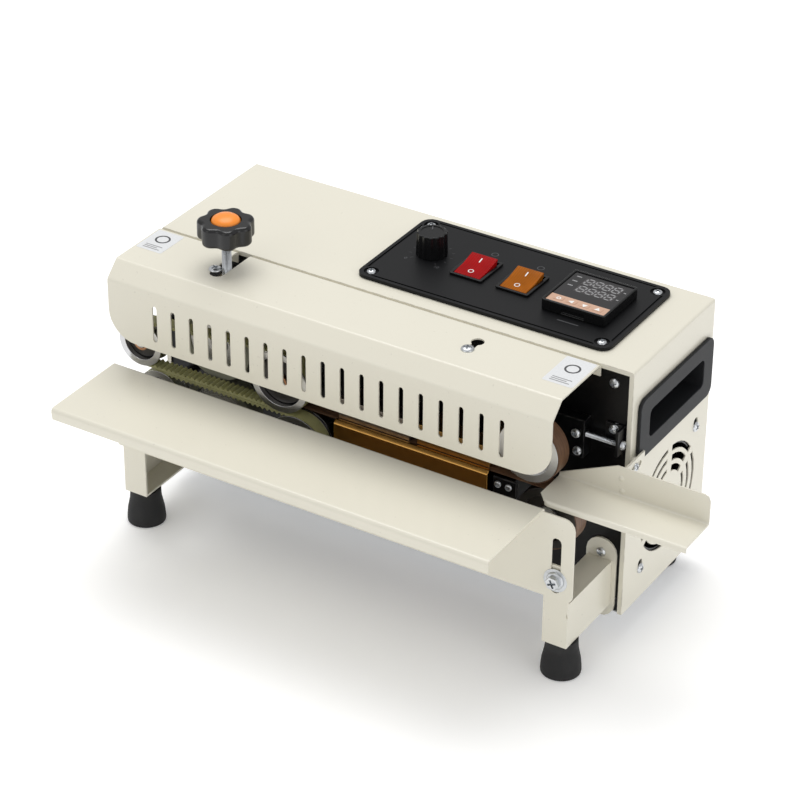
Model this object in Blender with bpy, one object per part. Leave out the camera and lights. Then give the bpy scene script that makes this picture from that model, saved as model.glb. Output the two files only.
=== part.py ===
"""Benchtop continuous band sealer: cabinet, sealing bands, guide belts, trays and controls.

Metres, +Z up.  The front (bag) side faces -Y, bags run along X between the two bands.
Origin: middle of the bounding box, on the floor.
"""
import math

import bmesh
import bpy

# ---------------------------------------------------------------- driving dimensions
CAB_W = 0.376            # cabinet width
CAB_D = 0.117            # cabinet depth
CAB_TOP = 0.214          # top of the cabinet above the floor
CAB_BOTTOM = 0.022       # underside of the cabinet above the floor
SHEET = 0.0012           # folded sheet steel
PLATE = 0.002            # front mounting wall
GAP = 0.0003             # clearance between neighbours
RUN_GAP = 0.0008         # clearance around turning shafts

LIP = 0.0035             # turned-in front lip of the cabinet sides
PANEL_W, PANEL_D, PANEL_T = 0.196, 0.096, 0.0025
PANEL_RIGHT_INSET = 0.027
PANEL_FRONT_INSET = 0.0125
PANEL_HOLE_INSET = 0.0084

COVER_RIGHT_INSET = 0.024
COVER_TOP_DEPTH = 0.053
COVER_DEPTH = 0.065
COVER_DROP = 0.0115
COVER_LIP = 0.009         # turned-down rear edge of the cover
COVER_BOTTOM = 0.157
COVER_CORNER_R = 0.022
SLOT_COUNT = 19
SLOT_W, SLOT_H = 0.0036, 0.0286
SLOT_LOW = 0.1638
SLOT_FIRST, SLOT_LAST = 0.0394, 0.0609    # from the cabinet's left and right sides

NIP_Z = 0.1322           # height where the bag passes
NIP_GAP = 0.0003
BAND_T, BAND_W = 0.0005, 0.014
WHEEL_R = 0.0225
WHEEL_FRONT = 0.0385     # front face of the band wheels, ahead of the cabinet front
BELT_BASE, BELT_TOOTH, BELT_W, BELT_PITCH = 0.0014, 0.0015, 0.010, 0.005
BELT_FRONT = 0.0515      # front edge of the guide belts, ahead of the cabinet front
FLANGE_T = 0.001
SMALL_BELT_R = 0.018     # outside of the belt on the left pulleys
PRESS_R, PRESS_W = 0.028, 0.016
PRESS_FRONT = 0.0395
SHAFT_R = 0.004

UPPER_IDLER_INSET = 0.0556   # from the right side
LOWER_IDLER_INSET = 0.0405
UPPER_LEFT_INSET = 0.0165    # from the left side
LOWER_LEFT_INSET = 0.032
PRESS_INSET = 0.0724
DRIVE_INSET = 0.1334
DRIVE_STAGGER = 0.0126

BLOCK_H, BLOCK_W, BLOCK_SPACE = 0.016, 0.014, 0.006
GUARD_DROP = 0.028
GUARD_FRONT = 0.043

LEG_W, LEG_H, LEG_DEPTH = 0.0187, 0.0357, 0.0612
LEG_Z, LEG_SHEET = 0.028, 0.0015
LEG_INSET = 0.0092
LEG_TAB_TOP = 0.092
LEG_PLATE_R = 0.0115
FOOT_R, FOOT_NECK_R = 0.0141, 0.0113
REAR_FOOT_INSET = 0.0255

TRAY_Z, TRAY_DEPTH, TRAY_LIP = 0.1344, 0.0732, 0.009
TRAY_RIGHT_INSET, TRAY_LEFT_INSET = 0.029, 0.001
TRAY_PLATE_BOTTOM, TRAY_PLATE_RIGHT = 0.0665, 0.0056
BOLT_Z, BOLT_SLOT_W, BOLT_SLOT_LOW, BOLT_SLOT_TOP = 0.0812, 0.0074, 0.071, 0.1145

INFEED_Z, INFEED_D, INFEED_WALL = 0.1352, 0.0325, 0.0215
INFEED_BACK = 0.0233     # front face of its upright wall, ahead of the cabinet front
INFEED_LEFT, INFEED_RIGHT = 0.0396, 0.0705   # left and right of the cabinet's right side

HANDLE_L, HANDLE_H, HANDLE_T, HANDLE_DEPTH = 0.106, 0.046, 0.003, 0.016
HANDLE_FRONT, HANDLE_LOW = 0.0075, 0.1425
POCKET_L, POCKET_H = 0.079, 0.0215
FAN_SIZE, FAN_T, FAN_Z = 0.080, 0.025, 0.0857
GRILLE_R = (0.0396, 0.0317, 0.0235)

KNOB_R, KNOB_H, KNOB_LOW = 0.020, 0.019, 0.018
DIAL_R, DIAL_H = 0.0102, 0.0175
SWITCH_W, SWITCH_D, SWITCH_RIM = 0.0255, 0.031, 0.0016
ROCKER_W, ROCKER_D = 0.0205, 0.0262
CTRL_SIZE, CTRL_RISE, CTRL_DEPTH = 0.048, 0.0085, 0.070
KEY_W, KEY_D, KEY_RISE = 0.0072, 0.0042, 0.0006
GEAR_TEETH, GEAR_W = 30, 0.007
MOTOR_R, MOTOR_L = 0.029, 0.080
INLET_T = 0.002

# ---------------------------------------------------------------- derived positions
# The handles and infeed tray set the width, the tray and inlet the depth, about the origin.
CAB_RIGHT = (CAB_W + HANDLE_T - INFEED_RIGHT) / 2
CAB_FRONT = (LEG_DEPTH + GAP + SHEET + TRAY_DEPTH - CAB_D - INLET_T) / 2
CAB_LEFT = CAB_RIGHT - CAB_W
CAB_BACK = CAB_FRONT + CAB_D
WALL_Y = CAB_FRONT + SHEET + GAP                 # front face of the mounting wall
WALL_BACK = WALL_Y + PLATE
UPPER_IDLER_X = CAB_RIGHT - UPPER_IDLER_INSET
LOWER_IDLER_X = CAB_RIGHT - LOWER_IDLER_INSET
UPPER_LEFT_X = CAB_LEFT + UPPER_LEFT_INSET
LOWER_LEFT_X = CAB_LEFT + LOWER_LEFT_INSET
PRESS_X = CAB_LEFT + PRESS_INSET
UPPER_DRIVE_X = CAB_LEFT + DRIVE_INSET
LOWER_DRIVE_X = UPPER_DRIVE_X + DRIVE_STAGGER
RISE = NIP_GAP / 2 + BAND_T + GAP + WHEEL_R      # wheel centre above or below the nip
BIG_BELT_R = RISE - NIP_GAP / 2                  # outside of the belt on the drive pulleys
UPPER_Z, LOWER_Z = NIP_Z + RISE, NIP_Z - RISE
UPPER_LEFT_Z = NIP_Z + NIP_GAP / 2 + SMALL_BELT_R
LOWER_LEFT_Z = NIP_Z - NIP_GAP / 2 - SMALL_BELT_R
PRESS_UP_Z = NIP_Z + NIP_GAP / 2 + PRESS_R
PRESS_LOW_Z = NIP_Z - NIP_GAP / 2 - PRESS_R
WHEEL_Y = CAB_FRONT - WHEEL_FRONT
BELT_Y = CAB_FRONT - BELT_FRONT
PULLEY_R_CUT = BELT_BASE + BELT_TOOTH + GAP
GEAR_R = 0.5 * math.hypot(DRIVE_STAGGER, UPPER_Z - LOWER_Z)
GEAR_Y = WALL_BACK + 0.003
LEG_FRONT = CAB_FRONT - LEG_DEPTH
RIGHT_LEG_X = CAB_RIGHT - LEG_INSET - LEG_W / 2
LEFT_LEG_X = CAB_LEFT + LIP + GAP + LEG_W / 2
LEG_TOP = LEG_Z + LEG_H
COVER_RIGHT = CAB_RIGHT - COVER_RIGHT_INSET
PANEL_X = CAB_RIGHT - PANEL_RIGHT_INSET - PANEL_W / 2
PANEL_Y = CAB_FRONT + PANEL_FRONT_INSET + PANEL_D / 2
PANEL_Z = CAB_TOP + GAP
PANEL_TOP = PANEL_Z + PANEL_T
DIAL_X = PANEL_X - 0.067
RED_X = PANEL_X - 0.0295
AMBER_X = PANEL_X + 0.0068
CTRL_X = PANEL_X + 0.0585
TRAY_Y = LEG_FRONT - GAP - SHEET                 # front face of the tray's upright plate
BLOCK_LEFT = LOWER_DRIVE_X + WHEEL_R + 0.004
BLOCK_RIGHT = UPPER_IDLER_X - WHEEL_R - 0.006
BLOCK_L = (BLOCK_RIGHT - BLOCK_LEFT - BLOCK_SPACE) / 2
HANDLE_Y = CAB_FRONT + HANDLE_FRONT + HANDLE_L / 2
HANDLE_Z = HANDLE_LOW + HANDLE_H / 2
FAN_Y = CAB_FRONT + CAB_D / 2 + 0.0023
KNOB_Y = CAB_FRONT - 0.0239
TENSION_Z = UPPER_Z + 0.004


# ---------------------------------------------------------------- materials
def material(name, colour, roughness, metallic=0.0):
    mat = bpy.data.materials.new(name)
    mat.use_nodes = True
    bsdf = mat.node_tree.nodes["Principled BSDF"]
    bsdf.inputs["Base Color"].default_value = (*colour, 1.0)
    bsdf.inputs["Roughness"].default_value = roughness
    bsdf.inputs["Metallic"].default_value = metallic
    return mat


def materials():
    return {
        "cream": material("cream_paint", (0.76, 0.74, 0.66), 0.35),
        "black": material("black_paint", (0.010, 0.010, 0.011), 0.35),
        "panel": material("panel_plastic", (0.016, 0.016, 0.018), 0.45),
        "grey": material("handle_plastic", (0.045, 0.047, 0.052), 0.5),
        "rubber": material("black_rubber", (0.012, 0.012, 0.012), 0.75),
        "chrome": material("chrome", (0.72, 0.72, 0.73), 0.18, 1.0),
        "steel": material("zinc_steel", (0.55, 0.56, 0.58), 0.35, 1.0),
        "aluminium": material("aluminium", (0.70, 0.71, 0.72), 0.35, 1.0),
        "bronze": material("bronze_guard", (0.36, 0.20, 0.05), 0.3, 1.0),
        "band": material("glass_band", (0.13, 0.065, 0.03), 0.45),
        "belt": material("olive_belt", (0.24, 0.24, 0.10), 0.6),
        "roller": material("grey_rubber", (0.20, 0.20, 0.17), 0.6),
        "red": material("red_plastic", (0.62, 0.012, 0.012), 0.2),
        "amber": material("amber_plastic", (0.75, 0.20, 0.02), 0.2),
        "orange": material("orange_plastic", (0.85, 0.22, 0.02), 0.35),
        "key": material("key_plastic", (0.45, 0.24, 0.12), 0.5),
        "motor": material("motor_paint", (0.12, 0.12, 0.13), 0.5, 0.5),
    }


# ---------------------------------------------------------------- outlines
def arc(cx, cy, r, start, end, steps):
    """Points on an arc, angles in degrees."""
    out = []
    for i in range(steps + 1):
        a = math.radians(start + (end - start) * i / steps)
        out.append((cx + r * math.cos(a), cy + r * math.sin(a)))
    return out


def circle(cx, cy, r, steps=16):
    return arc(cx, cy, r, 0, 360, steps)[:-1]


def rounded(x0, y0, x1, y1, radii, steps=4):
    """Rectangle with corner radii (one value, or lower-left, lower-right, upper-right, upper-left)."""
    if not isinstance(radii, tuple):
        radii = (radii,) * 4
    corners = ((x0, y0, 180), (x1, y0, 270), (x1, y1, 0), (x0, y1, 90))
    out = []
    for (x, y, a), r in zip(corners, radii):
        if r <= 0:
            out.append((x, y))
            continue
        cx = x + r if x == x0 else x - r
        cy = y + r if y == y0 else y - r
        out += arc(cx, cy, r, a, a + 90, steps)
    return out


def obround(cx, y0, y1, width, steps=6):
    """Upright slot outline with round ends."""
    r = width / 2
    return arc(cx, y0 + r, r, 180, 360, steps) + arc(cx, y1 - r, r, 0, 180, steps)


def folded(path, t, radius, steps=3):
    """Outline of a bent sheet of thickness t whose middle follows path with rounded bends."""
    mid = [path[0]]
    for prev, cur, nxt in zip(path, path[1:], path[2:]):
        a = (prev[0] - cur[0], prev[1] - cur[1])
        b = (nxt[0] - cur[0], nxt[1] - cur[1])
        la, lb = math.hypot(*a), math.hypot(*b)
        a, b = (a[0] / la, a[1] / la), (b[0] / lb, b[1] / lb)
        half = math.acos(max(-1.0, min(1.0, a[0] * b[0] + a[1] * b[1]))) / 2
        cut = min(radius / math.tan(half), la * 0.45, lb * 0.45)
        p0 = (cur[0] + a[0] * cut, cur[1] + a[1] * cut)
        p1 = (cur[0] + b[0] * cut, cur[1] + b[1] * cut)
        for i in range(steps + 1):
            s = i / steps
            q0 = (p0[0] + (cur[0] - p0[0]) * s, p0[1] + (cur[1] - p0[1]) * s)
            q1 = (cur[0] + (p1[0] - cur[0]) * s, cur[1] + (p1[1] - cur[1]) * s)
            mid.append((q0[0] + (q1[0] - q0[0]) * s, q0[1] + (q1[1] - q0[1]) * s))
    mid.append(path[-1])
    left, right = [], []
    for i, p in enumerate(mid):
        dirs = []
        if i > 0:
            dirs.append((p[0] - mid[i - 1][0], p[1] - mid[i - 1][1]))
        if i < len(mid) - 1:
            dirs.append((mid[i + 1][0] - p[0], mid[i + 1][1] - p[1]))
        dirs = [(d[0] / math.hypot(*d), d[1] / math.hypot(*d)) for d in dirs]
        nx = -sum(d[1] for d in dirs)
        ny = sum(d[0] for d in dirs)
        ln = math.hypot(nx, ny)
        nx, ny = nx / ln, ny / ln
        k = t / 2 / max(0.3, abs(nx * -dirs[0][1] + ny * dirs[0][0]))
        left.append((p[0] + nx * k, p[1] + ny * k))
        right.append((p[0] - nx * k, p[1] - ny * k))
    return left + right[::-1]


# ---------------------------------------------------------------- solids
def place(axis, a, b, t):
    """Point from outline coordinates (a, b) at distance t along the axis."""
    return {"x": (t, a, b), "y": (a, t, b), "z": (a, b, t)}[axis]


def add_prism(bm, axis, outline, start, end, holes=()):
    """Extrude an outline (with holes) along an axis from start to end."""
    edges = []
    for loop in (outline, *holes):
        verts = [bm.verts.new(place(axis, a, b, start)) for a, b in loop]
        edges += [bm.edges.new((v, w)) for v, w in zip(verts, verts[1:] + verts[:1])]
    if holes:
        filled = bmesh.ops.triangle_fill(bm, edges=edges, use_beauty=True)
        faces = [g for g in filled["geom"] if isinstance(g, bmesh.types.BMFace)]
    else:
        faces = [bm.faces.new([e.verts[0] for e in edges])]
    grown = bmesh.ops.extrude_face_region(bm, geom=faces, use_keep_orig=True)
    moved = [g for g in grown["geom"] if isinstance(g, bmesh.types.BMVert)]
    bmesh.ops.translate(bm, verts=moved, vec=place(axis, 0, 0, end - start))


def add_box(bm, x0, x1, y0, y1, z0, z1):
    add_prism(bm, "z", [(x0, y0), (x1, y0), (x1, y1), (x0, y1)], z0, z1)


def add_turned(bm, axis, profile, cx, cy, steps=32, closed=True):
    """Turn a profile of (radius, distance) points about the line through (cx, cy) along the axis."""
    verts = [bm.verts.new(place(axis, cx + r, cy, t)) for r, t in profile]
    edges = [bm.edges.new((v, w)) for v, w in zip(verts, verts[1:])]
    if closed:
        edges.append(bm.edges.new((verts[-1], verts[0])))
    spin_axis = place(axis, 0, 0, 1)
    bmesh.ops.spin(bm, geom=verts + edges, cent=place(axis, cx, cy, 0), axis=spin_axis,
                   angle=2 * math.pi, steps=steps, use_merge=True)
    bmesh.ops.remove_doubles(bm, verts=bm.verts, dist=1e-6)


def mesh_object(name, mat, bm, origin=(0, 0, 0)):
    """Make an object from bm, with its origin at the given point."""
    bmesh.ops.recalc_face_normals(bm, faces=bm.faces)
    bmesh.ops.translate(bm, verts=bm.verts, vec=[-c for c in origin])
    mesh = bpy.data.meshes.new(name)
    bm.to_mesh(mesh)
    bm.free()
    mesh.shade_smooth()
    mesh.set_sharp_from_angle(angle=math.radians(35))
    mesh.materials.append(mat)
    obj = bpy.data.objects.new(name, mesh)
    obj.location = origin
    bpy.context.collection.objects.link(obj)
    return obj


def prism(name, mat, axis, outline, start, end, holes=(), origin=(0, 0, 0)):
    bm = bmesh.new()
    add_prism(bm, axis, outline, start, end, holes)
    return mesh_object(name, mat, bm, origin)


def turned(name, mat, axis, profile, centre, steps=24, closed=True):
    """Turned solid with its origin on the axis."""
    bm = bmesh.new()
    add_turned(bm, axis, profile, *centre, steps=steps, closed=closed)
    return mesh_object(name, mat, bm, place(axis, *centre, profile[0][1]))


def boolean(obj, tool_bm, name, operation="DIFFERENCE"):
    """Cut (or join) a hidden tool solid into obj."""
    tool = mesh_object(name, obj.data.materials[0], tool_bm)
    tool.hide_render = True
    tool.display_type = "WIRE"
    tool.hide_set(True)
    mod = obj.modifiers.new(name, "BOOLEAN")
    mod.operation = operation
    mod.object = tool
    return obj


# ---------------------------------------------------------------- cabinet
def grille_slots():
    """Three concentric broken rings in front of the fan, as (y, z) outlines."""
    out = []
    for k, radius in enumerate(GRILLE_R):
        for quarter in range(4):
            mid = 90 * quarter + 60
            half, width, steps = ((25 - 2 * k, 0.0046, 5), (56 - 2 * k, 0.0029, 9))[quarter % 2]
            outer = arc(FAN_Y, FAN_Z, radius, mid - half, mid + half, steps)
            inner = arc(FAN_Y, FAN_Z, radius - width, mid + half, mid - half, steps)
            out.append(outer + inner)
    return out


def make_cabinet(mats):
    cream = mats["cream"]
    bm = bmesh.new()
    bend = 0.002
    add_prism(bm, "y", rounded(CAB_LEFT, CAB_BOTTOM, CAB_RIGHT, CAB_TOP, (0, 0, bend, bend), 3),
              CAB_FRONT, CAB_BACK)
    shell = mesh_object("cabinet_shell", cream, bm)
    inner = bmesh.new()
    add_box(inner, CAB_LEFT + SHEET, CAB_RIGHT - SHEET, CAB_FRONT + SHEET, CAB_BACK + 0.01,
            CAB_BOTTOM - 0.01, CAB_TOP - SHEET)
    boolean(shell, inner, "cut_cabinet_inside")
    mouth = bmesh.new()
    add_box(mouth, CAB_LEFT + LIP, CAB_RIGHT - LIP, CAB_FRONT - 0.01, CAB_FRONT + 0.01,
            CAB_BOTTOM - 0.02, CAB_TOP - LIP)
    boolean(shell, mouth, "cut_cabinet_mouth")
    side = bmesh.new()
    hy, hz = POCKET_L / 2 + 0.004, POCKET_H / 2 + 0.004
    add_prism(side, "x", rounded(HANDLE_Y - hy, HANDLE_Z - hz, HANDLE_Y + hy, HANDLE_Z + hz, 0.006, 3),
              CAB_LEFT - 0.01, CAB_RIGHT + 0.01)
    for outline in grille_slots():
        add_prism(side, "x", outline, CAB_RIGHT - 0.01, CAB_RIGHT + 0.01)
    boolean(shell, side, "cut_cabinet_sides")
    top = bmesh.new()
    add_prism(top, "z", rounded(PANEL_X - PANEL_W / 2 + 0.012, PANEL_Y - PANEL_D / 2 + 0.012,
                                PANEL_X + PANEL_W / 2 - 0.012, PANEL_Y + PANEL_D / 2 - 0.012, 0.003, 2),
              CAB_TOP - 0.01, CAB_TOP + 0.01)
    boolean(shell, top, "cut_cabinet_top")

    x0, x1 = CAB_LEFT + SHEET + GAP, CAB_RIGHT - SHEET - GAP
    inlet_x, inlet_z = CAB_LEFT + 0.045, CAB_BOTTOM + 0.040
    vents = [rounded(CAB_RIGHT - 0.060 - 0.012 * i, 0.060, CAB_RIGHT - 0.057 - 0.012 * i, 0.120, 0.0014, 2)
             for i in range(8)]
    prism("back_panel", cream, "y", rounded(x0, CAB_BOTTOM + SHEET + GAP, x1, CAB_TOP - SHEET - GAP, 0),
          CAB_BACK - SHEET, CAB_BACK,
          holes=[rounded(inlet_x - 0.0140, inlet_z - 0.0105, inlet_x + 0.0140, inlet_z + 0.0105, 0.002, 2)]
          + vents)

    y0, y1 = WALL_Y, CAB_BACK - SHEET - GAP
    low = CAB_BOTTOM + SHEET / 2
    turn = 0.010
    prism("base_plate", mats["steel"], "y",
                 folded([(x0 + SHEET / 2, low + turn), (x0 + SHEET / 2, low),
                         (x1 - SHEET / 2, low), (x1 - SHEET / 2, low + turn)], SHEET, 0.001, 2),
                 y0, y1)

    wall_holes = []
    for cx, cz in ((UPPER_DRIVE_X, UPPER_Z), (LOWER_DRIVE_X, LOWER_Z), (LOWER_IDLER_X, LOWER_Z),
                   (UPPER_LEFT_X, UPPER_LEFT_Z), (LOWER_LEFT_X, LOWER_LEFT_Z), (PRESS_X, PRESS_LOW_Z)):
        wall_holes.append(circle(cx, cz, SHAFT_R + RUN_GAP, 16))
    prism("front_wall", mats["black"], "y",
          rounded(x0, CAB_BOTTOM + SHEET + turn + 2 * GAP, x1, CAB_TOP - SHEET - GAP, 0.001, 1),
          WALL_Y, WALL_BACK, holes=wall_holes)

    # power inlet: flange, body and open socket with three pins
    bm = bmesh.new()
    add_prism(bm, "y", rounded(inlet_x - 0.0160, inlet_z - 0.0125, inlet_x + 0.0160, inlet_z + 0.0125, 0.002, 2),
              CAB_BACK + GAP, CAB_BACK + INLET_T)
    inlet = mesh_object("power_inlet", mats["panel"], bm)
    body = bmesh.new()
    add_prism(body, "y", rounded(inlet_x - 0.0136, inlet_z - 0.0101, inlet_x + 0.0136, inlet_z + 0.0101, 0.002, 2),
              CAB_BACK - 0.020, CAB_BACK + 0.001)
    boolean(inlet, body, "join_inlet_body", "UNION")
    socket = bmesh.new()
    add_prism(socket, "y", rounded(inlet_x - 0.0120, inlet_z - 0.0082, inlet_x + 0.0120, inlet_z + 0.0082,
                                   (0.001, 0.001, 0.005, 0.005), 2),
              CAB_BACK - 0.017, CAB_BACK + 0.01,
              holes=[rounded(inlet_x + dx - 0.001, inlet_z + dz - 0.002, inlet_x + dx + 0.001,
                             inlet_z + dz + 0.002, 0) for dx, dz in ((-0.007, -0.001), (0, 0.002), (0.007, -0.001))])
    boolean(inlet, socket, "cut_inlet_socket")

    for side_name, sign, face in (("right", 1, CAB_RIGHT), ("left", -1, CAB_LEFT)):
        make_handle(mats, side_name, sign, face)


def make_handle(mats, side, sign, face):
    """Flush pull: flange outside the sheet, open pocket behind it."""
    out0, out1 = face + sign * GAP, face + sign * HANDLE_T
    flange = rounded(HANDLE_Y - HANDLE_L / 2, HANDLE_Z - HANDLE_H / 2,
                     HANDLE_Y + HANDLE_L / 2, HANDLE_Z + HANDLE_H / 2, 0.007, 4)
    obj = prism(side + "_handle", mats["grey"], "x", flange, min(out0, out1), max(out0, out1))
    wall = 0.0025
    body = bmesh.new()
    ins = face - sign * HANDLE_DEPTH
    add_prism(body, "x", rounded(HANDLE_Y - POCKET_L / 2 - wall, HANDLE_Z - POCKET_H / 2 - wall,
                                 HANDLE_Y + POCKET_L / 2 + wall, HANDLE_Z + POCKET_H / 2 + wall, 0.005, 3),
              *sorted((ins, face + sign * HANDLE_T / 2)))
    boolean(obj, body, "join_" + side + "_pocket", "UNION")
    hollow = bmesh.new()
    add_prism(hollow, "x", rounded(HANDLE_Y - POCKET_L / 2, HANDLE_Z - POCKET_H / 2,
                                   HANDLE_Y + POCKET_L / 2, HANDLE_Z + POCKET_H / 2, 0.004, 3),
              *sorted((ins + sign * wall, face + sign * 0.02)))
    boolean(obj, hollow, "cut_" + side + "_pocket")


def make_cover(mats):
    """Folded front cover over the sealing head, with its row of slots."""
    front, top = CAB_FRONT - COVER_DEPTH, CAB_TOP
    t = SHEET
    back = CAB_FRONT - GAP
    path = [(back - t / 2, top - COVER_LIP), (back - t / 2, top - t / 2),
            (CAB_FRONT - COVER_TOP_DEPTH, top - t / 2),
            (front + t / 2, top - COVER_DROP), (front + t / 2, COVER_BOTTOM)]
    cover = prism("front_cover", mats["cream"], "x", folded(path, t, 0.003, 3), CAB_LEFT, COVER_RIGHT)
    cut = bmesh.new()
    x0, x1 = CAB_LEFT + SLOT_FIRST, CAB_RIGHT - SLOT_LAST
    for i in range(SLOT_COUNT):
        x = x0 + (x1 - x0) * i / (SLOT_COUNT - 1)
        add_prism(cut, "y", obround(x, SLOT_LOW, SLOT_LOW + SLOT_H, SLOT_W, 3), front - 0.005, front + 0.005)
    r, low, e = COVER_CORNER_R, COVER_BOTTOM, 0.005
    for xa, sign in ((CAB_LEFT, 1), (COVER_RIGHT, -1)):
        bend = arc(xa + sign * r, low + r, r, 180 if sign > 0 else 0, 270 if sign > 0 else -90, 8)
        add_prism(cut, "y", [(xa - sign * e, low + r)] + bend + [(xa + sign * r, low - e), (xa - sign * e, low - e)],
                  front - 0.005, front + 0.005)
    # slot for the pressure stud, open to the rear edge, and the keyhole at the other end
    kx, kw = PRESS_X - 0.001, 0.011
    add_prism(cut, "z", [(kx - kw / 2, CAB_FRONT + 0.01)]
              + arc(kx, CAB_FRONT - 0.034, kw / 2, 180, 360, 6)
              + [(kx + kw / 2, CAB_FRONT + 0.01)], top - 0.02, top + 0.01)
    hx = CAB_RIGHT - 0.1065
    add_prism(cut, "z", arc(hx, CAB_FRONT - 0.019, 0.0046, -60, 240, 10)
              + arc(hx, CAB_FRONT - 0.033, 0.0023, 180, 360, 4), top - 0.006, top + 0.01)
    boolean(cover, cut, "cut_cover")


# ---------------------------------------------------------------- legs, feet and trays
def make_leg(mats, side, cx, outer, plate_x):
    """Folded channel open towards the middle, with a round-ended plate on the front wall."""
    t = LEG_SHEET
    x0, x1 = cx - LEG_W / 2, cx + LEG_W / 2
    y0, y1 = LEG_FRONT, WALL_Y - GAP
    bm = bmesh.new()
    add_box(bm, x0, x1, y0, y1, LEG_Z, LEG_TOP)
    leg = mesh_object(side + "_leg", mats["cream"], bm)
    hollow = bmesh.new()
    xa, xb = (x0 - 0.01, x1 - t) if outer > 0 else (x0 + t, x1 + 0.01)
    add_box(hollow, xa, xb, y0 + t, y1 - t, LEG_Z + t, LEG_TOP - t)
    boolean(leg, hollow, "cut_" + side + "_leg")
    tab = bmesh.new()
    r = 0.006
    add_prism(tab, "y", rounded(x0, LEG_Z + 0.001, x1, LEG_TAB_TOP, (0, 0, r, r), 4), y0, y0 + t,
              holes=[circle(cx, BOLT_Z, 0.0033, 12)])
    boolean(leg, tab, "join_" + side + "_tab", "UNION")
    plate = bmesh.new()
    add_prism(plate, "y", obround(plate_x, LEG_Z - 0.011, LEG_TOP + 0.0162, 2 * LEG_PLATE_R, 8), y1 - t, y1)
    boolean(leg, plate, "join_" + side + "_plate", "UNION")


def make_foot(mats, name, cx, cy, top):
    """Moulded rubber foot, waisted above a wide base."""
    h = top - GAP
    profile = [(0, 0), (FOOT_R - 0.0012, 0), (FOOT_R, 0.0012), (FOOT_R - 0.0004, 0.30 * h),
               (FOOT_NECK_R + 0.0005, 0.62 * h), (FOOT_NECK_R, 0.8 * h), (FOOT_NECK_R, h), (0, h)]
    turned(name, mats["rubber"], "z", profile, (cx, cy), 20, closed=False)


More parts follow.
